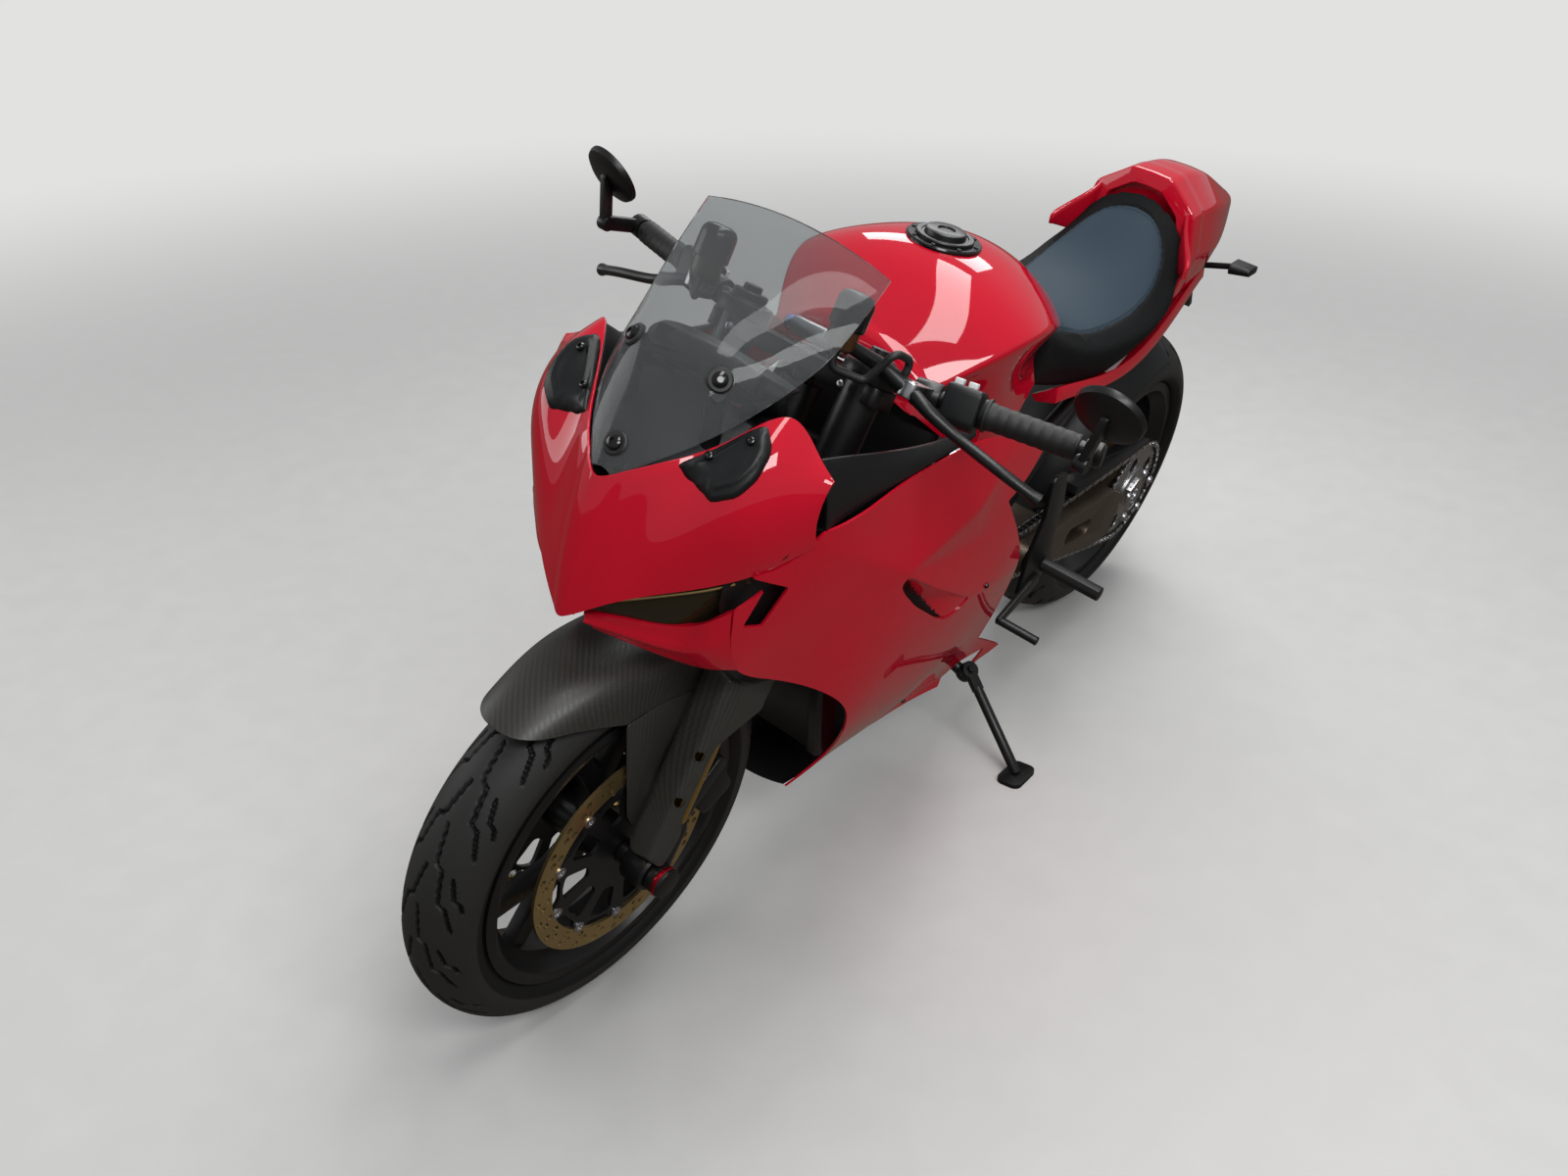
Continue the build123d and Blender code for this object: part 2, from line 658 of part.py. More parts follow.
with BuildPart() as rider_seat:
    add(seat_body)
    add(tank, mode=Mode.SUBTRACT)
keep(largest(rider_seat.part), "rider_seat")
with BuildPart() as tail_cowl:
    add(tail_body)
    with BuildSketch(Plane.XY.offset(600)):
        with Locations((-300, 0)):
            Rectangle(552, 500)
    extrude(amount=600, mode=Mode.SUBTRACT)
    add(rider_seat.part, mode=Mode.SUBTRACT)
    add(frame_solid, mode=Mode.SUBTRACT)
keep(largest(tail_cowl.part), "tail_cowl")
with BuildPart() as tail_panels:
    for way in (1, -1):
        for x, y, low, high in (
            (-120, 128, 742, 768), (-300, 132, 716, 738), (-430, 128, 708, 733), (-600, 112, 734, 766), (-800, 80, 770, 788)
        ):
            with BuildSketch(station(x)):
                with BuildLine():
                    Polyline((way * y, high), (way * (y + 4), low), (way * (y - 30), low - 12), (way * (y - 40), low - 4),
                             close=True)
                make_face()
        loft()
    add(rider_seat.part, mode=Mode.SUBTRACT)
    add(tail_cowl.part, mode=Mode.SUBTRACT)
    add(tank, mode=Mode.SUBTRACT)
    add(frame_solid, mode=Mode.SUBTRACT)
keep(tail_panels.part, "tail_panels")

# Tail lamp let into the end of the cowl
with BuildPart() as tail_light:
    with BuildSketch(Plane(origin=(-976.3, 0, 861), x_dir=(0, 1, 0), z_dir=(-1, 0, 0))):
        SlotOverall(52, 20)
    extrude(amount=9)
keep(tail_light.part, "tail_light")

# Plate bracket under the tail with its arm, and slim turn lamps on stalks
with BuildPart() as plate_holder:
    with BuildSketch(side(-26)) as holder:
        with BuildLine():
            Polyline((-720, 775), (-840, 800), (-900, 770), (-985, 640), (-975, 634), (-888, 730), (-830, 766), (-730, 752),
                     close=True)
        make_face()
    extrude(amount=-52)
    with BuildSketch(Plane(origin=(-985, 0, 640), x_dir=(0, 1, 0), z_dir=(-0.81, 0, -0.59))):
        RectangleRounded(150, 110, 8)
    extrude(amount=4)
    add(tail_cowl.part, mode=Mode.SUBTRACT)
    add(frame_solid, mode=Mode.SUBTRACT)
holder_solid = largest(plate_holder.part)
keep(holder_solid, "plate_holder")
with BuildPart() as rear_indicators:
    for way in (1, -1):
        add(rod((-888, way * 28.4, 752), (-900, way * 105, 775), 6))
        with BuildSketch(Plane(origin=(-900, way * 104, 775), x_dir=(1, 0, 0), z_dir=(0, way, 0.12))):
            SlotOverall(56, 22)
        extrude(amount=40, taper=6)
keep(rear_indicators.part, "rear_indicators")

# Rear hugger over the tyre with the chain guard on its left edge
with BuildPart() as hugger:
    with BuildSketch(Plane.XY):
        with BuildLine():
            ThreePointArc((284, -96), (332, 0), (284, 96))
            Line((284, 96), (287, 99))
            ThreePointArc((287, 99), (336, 0), (287, -99))
            Line((287, -99), (284, -96))
        make_face()
    revolve(axis=Axis.Y, revolution_arc=78)
hugger_at = rear_at * Rotation(0, -92, 0)
with BuildPart() as rear_hugger:
    add(hugger.part.moved(hugger_at))
    add(slab([(-380, 476), (-700, 462), (-700, 452), (-380, 460)], 92, 34))
    add(slab([(-400, 470), (-440, 470), (-440, 400), (-400, 400)], 93, 4))
    add(swingarm.part, mode=Mode.SUBTRACT)
keep(largest(rear_hugger.part), "rear_hugger")

# Side stand on its bracket: the leg folds back along the bike about a slanted pin
LEANED = radians(LEAN)
STAND_PIVOT = Vector(-128, 130, 182)
STAND_FOOT = Vector(-82, 300 * cos(LEANED), 300 * sin(LEANED))
floor_up = Vector(0, -sin(LEANED), cos(LEANED))
leg_down = (STAND_FOOT + floor_up * 6 - STAND_PIVOT).normalized()
leg_back = Vector(-0.95, 0.30, 0.05).normalized()
STAND_AXIS = leg_down.cross(leg_back).normalized()
STAND_SWING = degrees(leg_down.get_signed_angle(leg_back, STAND_AXIS) * pi / 180)
with BuildPart() as stand_bracket:
    add(slab([(-142, 244), (-92, 244), (-98, 172), (-136, 172)], 58, 36))
    add(rod((-118, 70, 194), STAND_PIVOT - STAND_AXIS * 19, 11))
    add(engine.part, mode=Mode.SUBTRACT)
    with BuildSketch(Plane(origin=STAND_PIVOT - STAND_AXIS * 20, z_dir=STAND_AXIS)):
        Circle(17)
    extrude(amount=13.5)
    with BuildSketch(Plane(origin=STAND_PIVOT - STAND_AXIS * 20, z_dir=STAND_AXIS)):
        Circle(6)
    extrude(amount=31)
    with BuildSketch(Plane(origin=STAND_PIVOT - STAND_AXIS * 6.5, z_dir=STAND_AXIS)):
        Circle(40)
        Circle(6, mode=Mode.SUBTRACT)
    extrude(amount=30, mode=Mode.SUBTRACT)
keep(largest(stand_bracket.part), "stand_bracket")
with BuildPart() as side_stand:
    with BuildSketch(Plane(origin=STAND_PIVOT - STAND_AXIS * 6, x_dir=leg_down, z_dir=STAND_AXIS)):
        Circle(16)
        with Locations((20, 0)):
            Rectangle(40, 19)
    extrude(amount=12)
    add(rod(STAND_PIVOT + leg_down * 34, STAND_FOOT + floor_up * 8, 9.5))
    with BuildSketch(Plane(origin=STAND_FOOT, x_dir=(1, 0, 0), z_dir=floor_up)):
        RectangleRounded(72, 46, 14)
    extrude(amount=8)
    with BuildSketch(Plane(origin=STAND_FOOT - floor_up * 20, x_dir=(1, 0, 0), z_dir=floor_up)):
        Rectangle(150, 150)
    extrude(amount=20, mode=Mode.SUBTRACT)
    with BuildSketch(Plane(origin=STAND_PIVOT - STAND_AXIS * 8, z_dir=STAND_AXIS)):
        Circle(6 + PLAY)
    extrude(amount=16, mode=Mode.SUBTRACT)
keep(side_stand.part, "side_stand")

# Fairing lines in the side view: the lower edge of the nose, the top edge of the sides and their rear edge
NOSE_EDGE = [(860, 700), (848, 734), (835, 759), (814, 781), (788, 798), (761, 812), (727, 818), (690, 829), (647, 866)]
SIDE_TOP = [(647, 866), (532, 873), (422, 872), (289, 864), (150, 812), (62, 766)]
SIDE_REAR = [(112, 724), (152, 712), (80, 640), (2, 535), (-35, 470), (-68, 380), (-84, 288), (-225, 194)]
SIDE_LOW = [(-170, 160), (-168, 214), (-88, 214), (-82, 148), (-22, 155), (160, 182), (400, 218)]
SIDE_FRONT = [(382, 342), (454, 476), (568, 574), (651, 622), (690, 706), (727, 818)]
NOSE = [
    # y, lower point, middle point, upper point of the section
    (0, (849, 726), (838, 815), (812, 904)),
    (45, (828, 762), (815, 848), (774, 930)),
    (90, (798, 786), (786, 872), (716, 958)),
    (135, (760, 804), (762, 885), (664, 992)),
    (175, (706, 812), (728, 888), (650, 958)),
    (206, (660, 838), (672, 894), (655, 940)),
]
FLANK = [
    # x, upper point, middle point, lower point of the section
    (742, (164, 890), (116, 540), (-70, 190)),
    (640, (206, 890), (136, 540), (-56, 190)),
    (500, (207, 890), (192, 540), (54, 190)),
    (340, (206, 890), (212, 540), (84, 190)),
    (150, (203, 890), (214, 540), (88, 180)),
    (-20, (192, 890), (202, 540), (92, 170)),
    (-240, (158, 890), (178, 540), (130, 165)),
]


def lines_off(points, dz):
    return [(x, z + dz) for x, z in points]


def cut_side(shape, outline):
    """The part of a shape inside a side-view outline."""
    with BuildPart() as piece:
        add(shape)
        with BuildSketch(side(400)):
            with BuildLine():
                Polyline(*outline, close=True)
            make_face()
        extrude(amount=800, mode=Mode.INTERSECT)
    return piece.part


# Nose: its left half is lofted outwards from the crease and mirrored
half_nose = cut_side(sheet(NOSE, side, (-SHELL - 1, -1)), NOSE_EDGE + [(600, 866), (600, 1060), (900, 1060)])
with BuildPart() as nose_fairing:
    add(half_nose)
    mirror(about=Plane.XZ)
keep(nose_fairing.part, "nose_fairing")

# Sides with a scoop behind the front edge
flank = sheet(FLANK, station, (-SHELL, 0))
side_line = lines_off(SIDE_TOP, -0.3) + SIDE_REAR + SIDE_LOW + SIDE_FRONT + lines_off(NOSE_EDGE[7:8], -0.8)
with BuildPart() as left_fairing:
    add(cut_side(flank, side_line))
    with BuildSketch(side(300)) as scoop:
        with BuildLine():
            Polyline((412, 692), (404, 668), (262, 552), (140, 520), (150, 538), (290, 622), close=True)
        make_face()
        fillet(scoop.vertices(), 5)
    extrude(amount=200, mode=Mode.SUBTRACT)
keep(left_fairing.part, "left_fairing")
with BuildPart() as right_fairing:
    add(left_fairing.part)
    mirror(about=Plane.XZ, mode=Mode.REPLACE)
    add(slab([(-84, 120), (-84, 266), (-260, 266), (-260, 120)], -260, 240), mode=Mode.SUBTRACT)
right_solid = largest(right_fairing.part)
keep(right_solid, "right_fairing")

# Chin: the lower jaw under the lamps
CHIN = [
    (16, (824, 724), (818, 712), (806, 694)),
    (68, (789, 718), (782, 696), (764, 670)),
    (108, (745, 705), (736, 676), (710, 642)),
    (140, (702, 712), (694, 668), (664, 628)),
]
with BuildPart() as chin_fairing:
    add(sheet(CHIN, side, (-SHELL - 4, 0)))
    mirror(about=Plane.XZ)
    add(left_fairing.part, mode=Mode.SUBTRACT)
    add(right_solid, mode=Mode.SUBTRACT)
keep(chin_fairing.part, "chin_fairing")

# Lamps: smoked lenses in front of one dark housing that fills the nose
LENS = [
    (18, (834, 752), (832, 745), (828, 737)),
    (65, (806, 773), (801, 750), (790, 727)),
    (105, (776, 792), (766, 755), (748, 716)),
    (138, (744, 804), (732, 770), (712, 736)),
    (160, (718, 810), (713, 803), (706, 795)),
]
with BuildPart() as headlight_lenses:
    add(sheet(LENS, side, (-6, 0)))
    mirror(about=Plane.XZ)
    add(nose_fairing.part, mode=Mode.SUBTRACT)
    add(chin_fairing.part, mode=Mode.SUBTRACT)
keep(headlight_lenses.part, "headlight_lenses")

# Windscreen: a bubble that rises from the tip of the nose
SCREEN = [
    # x, height of the crown, half width, height of the edge
    (806, 912, 16, 907),
    (750, 978, 66, 944),
    (699, 1036, 95, 972),
    (640, 1070, 115, 1002),
    (590, 1095, 128, 1034),
    (545, 1115, 134, 1074),
    (505, 1131, 135, 1112),
]
screen = sheet([(x, (-w, low), (0, top), (w, low)) for x, top, w, low in SCREEN], station, (0, -4))
with BuildPart() as windscreen:
    add(screen)
    add(nose_fairing.part, mode=Mode.SUBTRACT)
windscreen_solid = largest(windscreen.part)
keep(windscreen_solid, "windscreen")

HOUSING = [
    (-150, (660, 880), (684, 845), (676, 800)),
    (-110, (700, 900), (728, 830), (716, 745)),
    (0, (770, 900), (806, 820), (808, 742)),
    (110, (700, 900), (728, 830), (716, 745)),
    (150, (660, 880), (684, 845), (676, 800)),
]
with BuildPart() as headlight_unit:
    struts = [rod((760, 0, 840), (790, 0, 935), 12)]
    for way in (1, -1):
        struts.append(rod((700, way * 63, 880), (700, way * 63, 1030), 12))
        struts.append(rod((760, way * 70, 800), (815, way * 70, 800), 9))
        struts.append(rod((660, way * 140, 850), (700, way * 185, 850), 9))
        struts.append(rod((740, way * 70, 760), (800, way * 70, 745), 9))
        struts.append(rod((690, way * 120, 770), (712, way * 126, 668), 9))
    add([sheet(HOUSING, side, (-78, 0))] + struts)
    add([nose_fairing.part, windscreen_solid, headlight_lenses.part, chin_fairing.part, left_fairing.part,
         right_solid], mode=Mode.SUBTRACT)
housing_solid = largest(headlight_unit.part)

# Dashboard on a bracket from the steering head
with BuildPart() as dashboard:
    with BuildSketch(Plane(origin=(625, 0, 960), x_dir=(0, 1, 0), z_dir=(-0.72, 0, 0.69))):
        RectangleRounded(164, 98, 16)
    extrude(amount=22)
    add(rod((625, 0, 966), (620, 0, 870), 14))
    add(rod((730, 0, 866), (460, 0, 866), 14))
    add(frame_solid, mode=Mode.SUBTRACT)
    add(housing_solid, mode=Mode.SUBTRACT)
keep(largest(dashboard.part), "dashboard")
keep(housing_solid, "headlight_unit")

# Cockpit side panels between the nose and the tank
COCKPIT = [
    (644, (180, 950), (194, 912), (204, 864)),
    (520, (184, 915), (196, 894), (205, 866)),
    (400, (190, 888), (199, 880), (205, 864)),
    (296, (190, 878), (196, 870), (199, 856)),
]
cockpit_line = lines_off(SIDE_TOP[:4], 0.3) + [(289, 980), (645, 980)]
with BuildPart() as cockpit_panels:
    add(cut_side(sheet(COCKPIT, station, (-SHELL, 0)), cockpit_line))
    mirror(about=Plane.XZ)
    add(nose_fairing.part, mode=Mode.SUBTRACT)
    add(tank, mode=Mode.SUBTRACT)
keep(cockpit_panels.part, "cockpit_panels")

# Covers over the mirror seats on the nose
with BuildPart() as mirror_covers:
    with BuildSketch(Plane(origin=(707, 103, 938), x_dir=(-0.58, 0.62, 0.53), z_dir=(0.66, 0.12, 0.74))):
        with Locations((0, 0)):
            RectangleRounded(58, 62, 14)
    extrude(amount=20)
    mirror(about=Plane.XZ)
    add([nose_fairing.part, windscreen_solid, housing_solid], mode=Mode.SUBTRACT)
cover_solids = mirror_covers.part.solids().sort_by(SortBy.VOLUME)[-2:]
with BuildPart() as mirror_covers_kept:
    add(cover_solids)
keep(mirror_covers_kept.part, "mirror_covers")

# Belly tray joining the lower edges of the sides
TRAY = [(396, 104, 226), (160, 82, 180), (-22, 86, 156), (-80, 90, 150)]
with BuildPart() as belly_pan:
    add(sheet([(x, (-w, z), (0, z - 26), (w, z)) for x, w, z in TRAY], station, (0, -3)))
    add(left_fairing.part, mode=Mode.SUBTRACT)
    add(right_solid, mode=Mode.SUBTRACT)
    add(stand_bracket.part, mode=Mode.SUBTRACT)
keep(largest(belly_pan.part), "belly_pan")


# Steering: clamps that join the stem to the two fork legs
def clamp(s, thick, stem_hole):
    with BuildPart() as yoke:
        with BuildSketch(steer_plane(s)) as outline:
            with BuildLine():
                Polyline((-34, -26), (-34, 26), (0, 62), (2, 140), (56, 140), (44, 0), (56, -140), (2, -140), (0, -62), close=True)
            make_face()
            fillet(outline.vertices(), 12)
        extrude(amount=thick)
        with BuildSketch(steer_plane(s)):
            with Locations((FORK_F, FORK_Y), (FORK_F, -FORK_Y)):
                Circle(FORK_OUTER_R + 0.2)
            if stem_hole:
                Circle(STEM_R + 0.2)
        extrude(amount=thick, mode=Mode.SUBTRACT)
    return yoke.part


keep(clamp(UPPER_CLAMP_S, 24, True), "upper_clamp", True)
with BuildPart() as lower_clamp:
    add(clamp(LOWER_CLAMP_S, 36, False))
    with BuildSketch(steer_plane(LOWER_CLAMP_S)):
        Circle(STEM_R)
    extrude(amount=UPPER_CLAMP_S + 30 - LOWER_CLAMP_S)
    with BuildSketch(steer_plane(LOWER_CLAMP_S)):
        Circle(8)
    extrude(amount=60, mode=Mode.SUBTRACT)
keep(lower_clamp.part, "lower_clamp", True)

# Fork: outer tubes in the clamps, inner tubes with the axle feet and caliper lugs
CALIPER_ANGLE = radians(128)
with BuildPart() as fork_outers:
    with BuildSketch(steer_plane(560)):
        with Locations((FORK_F, FORK_Y), (FORK_F, -FORK_Y)):
            Circle(FORK_OUTER_R)
            Circle(FORK_INNER_R + 0.2, mode=Mode.SUBTRACT)
    extrude(amount=FORK_TOP_S - 560)
    with BuildSketch(steer_plane(FORK_TOP_S - 12)):
        with Locations((FORK_F, FORK_Y), (FORK_F, -FORK_Y)):
            Circle(FORK_OUTER_R)
    extrude(amount=12)
keep(fork_outers.part, "fork_outers", True)
with BuildPart() as fork_inners:
    with BuildSketch(steer_plane(AXLE_S + 40)):
        with Locations((FORK_F, FORK_Y), (FORK_F, -FORK_Y)):
            Circle(FORK_INNER_R)
    extrude(amount=400)
    for y in (88, -124):
        with BuildSketch(fork_side(y)) as foot:
            with BuildLine():
                Polyline(
                    (AXLE_F - 28, AXLE_S - 20), (AXLE_F + 26, AXLE_S - 24), (AXLE_F + 26, AXLE_S + 20), (FORK_F + 24, AXLE_S + 70),
                    (FORK_F - 24, AXLE_S + 96), (-36, AXLE_S + 176), (-48, AXLE_S + 162), (FORK_F - 26, AXLE_S + 44), close=True,
                )
            make_face()
            fillet(foot.vertices(), 8)
        extrude(amount=-36)
    with BuildSketch(fork_side(-200)):
        with Locations((AXLE_F, AXLE_S)):
            Circle(AXLE_R + 0.2)
    extrude(amount=-400, mode=Mode.SUBTRACT)
keep(fork_inners.part, "fork_inners", True)

# Front axle with spacers and end sliders
with BuildPart() as front_axle:
    for r, y0, y1 in ((AXLE_R, -132, 132), (17, 66.2, 87.6), (17, -87.6, -66.2), (22, 125.2, 150), (22, -150, -125.2)):
        with BuildSketch(fork_side(y0)):
            with Locations((AXLE_F, AXLE_S)):
                Circle(r)
        extrude(amount=-(y1 - y0))
keep(front_axle.part, "front_axle", True)

# Calipers straddling the discs behind the legs
with BuildPart() as calipers:
    for way in (1, -1):
        middle = (AXLE_F + 146 * cos(CALIPER_ANGLE), AXLE_S + 146 * sin(CALIPER_ANGLE))
        with BuildSketch(fork_side(41 if way > 0 else -93)):
            with Locations(Location((middle[0], middle[1], 0), degrees(CALIPER_ANGLE))):
                RectangleRounded(62, 124, 12)
        extrude(amount=-52)
    with BuildSketch(fork_side(DISC_Y - 6)):
        with Locations((AXLE_F, AXLE_S)):
            Circle(DISC_R + 6)
    extrude(amount=-12, mode=Mode.SUBTRACT)
    with BuildSketch(fork_side(-DISC_Y - 6)):
        with Locations((AXLE_F, AXLE_S)):
            Circle(DISC_R + 6)
    extrude(amount=-12, mode=Mode.SUBTRACT)
    add(fork_inners.part, mode=Mode.SUBTRACT)
calipers_solid = calipers.part
keep(calipers_solid, "calipers", True)

# Front fender: a hood over the tyre and covers in front of the legs
with BuildPart() as hood:
    with BuildSketch(Plane.XY):
        with BuildLine():
            Line((246, 67), (290, 69))
            ThreePointArc((290, 69), (334, 0), (290, -69))
            Line((290, -69), (246, -67))
            Line((246, -67), (246, -70))
            Line((246, -70), (291, -72))
            ThreePointArc((291, -72), (337, 0), (291, 72))
            Line((291, 72), (246, 70))
            Line((246, 70), (246, 67))
        make_face()
    revolve(axis=Axis.Y, revolution_arc=92)
with BuildPart() as front_fender:
    add(hood.part.moved(front_at * Rotation(0, -148, 0)))
    bill = [(26, 232), (112, 268), (190, 282), (240, 250), (240, 100), (26, 100)]
    add(slab([(FRONT_AXLE.X + x, FRONT_AXLE.Z + z) for x, z in bill], -100, 200), mode=Mode.SUBTRACT)
    for way in (1, -1):
        with BuildSketch(steer_plane(AXLE_S + 24)):
            with BuildLine():
                Polyline(
                    (66, way * 70.5), (64, way * 122), (52, way * 133.4), (8, way * 136), (8, way * 139), (54, way * 136.6),
                    (67, way * 124), (69, way * 70.5), close=True,
                )
            make_face()
        extrude(amount=270)
        with BuildSketch(fork_side(125.3 if way > 0 else -136)):
            with Locations((FORK_F - 4, AXLE_S + 52)):
                Circle(9)
        extrude(amount=-10.7)
        with BuildSketch(fork_side(100 if way > 0 else -180)):
            with Locations((FORK_F + 4, AXLE_S + 110), (FORK_F + 2, AXLE_S + 176)):
                Circle(13)
        extrude(amount=-80, mode=Mode.SUBTRACT)
    with BuildSketch(fork_side(-70)):
        with Locations((AXLE_F, AXLE_S)):
            Circle(243)
    extrude(amount=-140, mode=Mode.SUBTRACT)
    add(fork_outers.part, mode=Mode.SUBTRACT)
    add(fork_inners.part, mode=Mode.SUBTRACT)
keep(largest(front_fender.part), "front_fender", True)

# Bars, grips, switches, levers, reservoirs and mirrors, drawn on the left and mirrored to the right
BAR_IN, BAR_OUT = steer_point(16, 134, 1036), steer_point(-47, 367, 1061)
bar_dir = (BAR_OUT - BAR_IN).normalized()


def along_bar(distance):
    return BAR_IN + bar_dir * distance


def both(shape):
    with BuildPart() as pair:
        add(shape)
        mirror(about=Plane.XZ)
    return pair.part


with BuildPart() as left_bar:
    with BuildSketch(steer_plane(UPPER_CLAMP_S + 24.3, FORK_F, FORK_Y)):
        Circle(37)
        Circle(FORK_OUTER_R + 0.2, mode=Mode.SUBTRACT)
    extrude(amount=20)
    add(rod(along_bar(0) - bar_dir * 4, BAR_OUT, 11))
    with BuildSketch(steer_plane(UPPER_CLAMP_S + 24.3, FORK_F, FORK_Y)):
        Circle(FORK_OUTER_R + 0.2)
    extrude(amount=40, mode=Mode.SUBTRACT)
keep(both(left_bar.part), "handlebars", True)
with BuildPart() as left_grip:
    with BuildSketch(Plane(origin=along_bar(118), z_dir=bar_dir)):
        Circle(17)
        Circle(11.2, mode=Mode.SUBTRACT)
    extrude(amount=118)
keep(both(left_grip.part), "grips", True)
with BuildPart() as left_switch:
    with BuildSketch(Plane(origin=along_bar(66), x_dir=STEER_AHEAD, z_dir=bar_dir)):
        RectangleRounded(48, 52, 12)
        Circle(11.2, mode=Mode.SUBTRACT)
    extrude(amount=46)
keep(both(left_switch.part), "switchgear", True)
with BuildPart() as left_lever:
    with BuildSketch(Plane(origin=along_bar(26), x_dir=STEER_AHEAD, z_dir=bar_dir)):
        with Locations((22, 4)):
            RectangleRounded(80, 32, 10)
        Circle(11.2, mode=Mode.SUBTRACT)
    extrude(amount=34)
    add(rod(along_bar(44) + STEER_AHEAD * 50, along_bar(118) + STEER_AHEAD * 54 + STEER_UP * -34, 8))
    add(rod(along_bar(116) + STEER_AHEAD * 54 + STEER_UP * -33, steer_point(9, 366, 990), 6.5))
    add(rod(along_bar(40) + STEER_AHEAD * 52, steer_point(128, 112, 1062), 6))
keep_lever = left_lever.part
with BuildPart() as left_reservoir:
    with BuildSketch(steer_plane(1052, 135, 108)):
        Circle(19)
    extrude(amount=40)
    with BuildSketch(steer_plane(1092, 135, 108)):
        Circle(23)
    extrude(amount=30)
with BuildPart() as lever_cut:
    add(keep_lever)
    add(left_reservoir.part, mode=Mode.SUBTRACT)
keep(both(largest(lever_cut.part)), "lever_controls", True)
keep(both(left_reservoir.part), "reservoirs", True)
MIRROR_AT = steer_point(23, 401, 1112)
mirror_face = Vector(-0.86, -0.10, 0.5).normalized()
with BuildPart() as left_mirror:
    with BuildSketch(Plane(origin=BAR_OUT + bar_dir * 0.3, z_dir=bar_dir)):
        Circle(15)
    extrude(amount=24)
    add(rod(BAR_OUT + bar_dir * 14, steer_point(8, 392, 1052), 8))
    add(rod(steer_point(8, 392, 1050), MIRROR_AT - mirror_face * 8, 8))
    with BuildSketch(Plane(origin=MIRROR_AT - mirror_face * 8, z_dir=mirror_face)):
        Circle(44)
    extrude(amount=14)
keep(both(left_mirror.part), "mirrors", True)

# Steering damper across the upper clamp
with BuildPart() as steering_damper:
    add(rod(steer_point(-20, -58, 1042), steer_point(-20, 40, 1042), 12))
    add(rod(steer_point(-20, 38, 1042), steer_point(-20, 96, 1042), 6))
    for y in (-30, 62):
        with BuildSketch(steer_plane(UPPER_CLAMP_S + 24.2, -20, y)):
            Circle(8)
        extrude(amount=18)
keep(steering_damper.part, "steering_damper", True)

# Hoses: fluid to each reservoir and the brake line down the right leg
with BuildPart() as hoses:
    for way in (1, -1):
        add(pipe([steer_point(58, way * 163, 1052.5), steer_point(58, way * 163, 1072), steer_point(100, way * 163, 1076),
                  steer_point(100, way * 140, 1030), steer_point(135, way * 108, 1030), steer_point(135, way * 108, 1051.7)], 5))
keep(hoses.part, "hoses", True)

# Park the bike: steer, lean, and set the origin under the middle of what the bike covers
steer_turn = Location(STEER_FOOT) * Location((0, 0, 0), Vector(STEER_UP.X, STEER_UP.Y, STEER_UP.Z), STEER_REST) \
    * Location(STEER_FOOT * -1)
lean_over = Location((0, 0, 0), (1, 0, 0), -LEAN)
parked = {}
for label, (piece, steers) in made.items():
    parked[label] = piece.moved(lean_over * steer_turn if steers else lean_over)
boxes = [shape.bounding_box() for shape in parked.values()]
MID = Vector(
    (min(b.min.X for b in boxes) + max(b.max.X for b in boxes)) / 2,
    (min(b.min.Y for b in boxes) + max(b.max.Y for b in boxes)) / 2,
    min(b.min.Z for b in boxes),
)
centre = Location(MID * -1)
os.makedirs("parts", exist_ok=True)
for label, shape in parked.items():
    placed = shape.moved(centre)
    placed.label = label
    export_step(placed, f"parts/{label}.step")
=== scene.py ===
"""Dress a parked sport bike: its panels, wheels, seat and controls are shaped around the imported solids.

Pieces are drawn upright, in millimetres from the floor midway between the axles (X forward, Y to the
rider's left, Z up). Those that steer are turned about the steering axis, and all are leaned over with
the bike.
"""
import json
from cmath import exp as turn_by, phase
from math import atan2, cos, pi, radians, sin, sqrt

import bmesh
import bpy
import numpy as np
from mathutils import Matrix, Vector
from mathutils.bvhtree import BVHTree
from mathutils.geometry import delaunay_2d_cdt


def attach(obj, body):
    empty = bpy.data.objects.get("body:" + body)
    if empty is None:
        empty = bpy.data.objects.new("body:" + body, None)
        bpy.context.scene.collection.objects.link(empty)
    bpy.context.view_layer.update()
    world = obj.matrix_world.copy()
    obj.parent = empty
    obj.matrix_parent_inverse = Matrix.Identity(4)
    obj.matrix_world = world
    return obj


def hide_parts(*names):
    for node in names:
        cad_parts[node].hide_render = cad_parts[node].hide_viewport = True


bl_info = {
    "name": "Parked sport bike",
    "version": (1, 0, 0),
    "blender": (4, 5, 0),
    "location": "3D View > Sidebar > Bike",
    "description": "Shapes and finishes the visible pieces of a faired sport bike around its solids",
    "category": "Object",
}

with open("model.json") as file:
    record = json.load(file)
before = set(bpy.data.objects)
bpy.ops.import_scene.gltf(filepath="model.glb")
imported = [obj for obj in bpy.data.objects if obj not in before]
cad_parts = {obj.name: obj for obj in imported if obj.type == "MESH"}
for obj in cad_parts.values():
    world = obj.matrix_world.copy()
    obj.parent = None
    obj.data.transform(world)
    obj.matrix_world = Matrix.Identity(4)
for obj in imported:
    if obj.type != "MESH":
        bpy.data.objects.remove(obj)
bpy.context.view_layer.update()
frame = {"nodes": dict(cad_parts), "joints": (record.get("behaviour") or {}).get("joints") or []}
JOINTS = {joint["name"]: joint for joint in frame["joints"]}


def rotation(axis, angle):
    """A matrix that turns points about an axis."""
    return np.array(Matrix.Rotation(angle, 3, Vector(axis)))


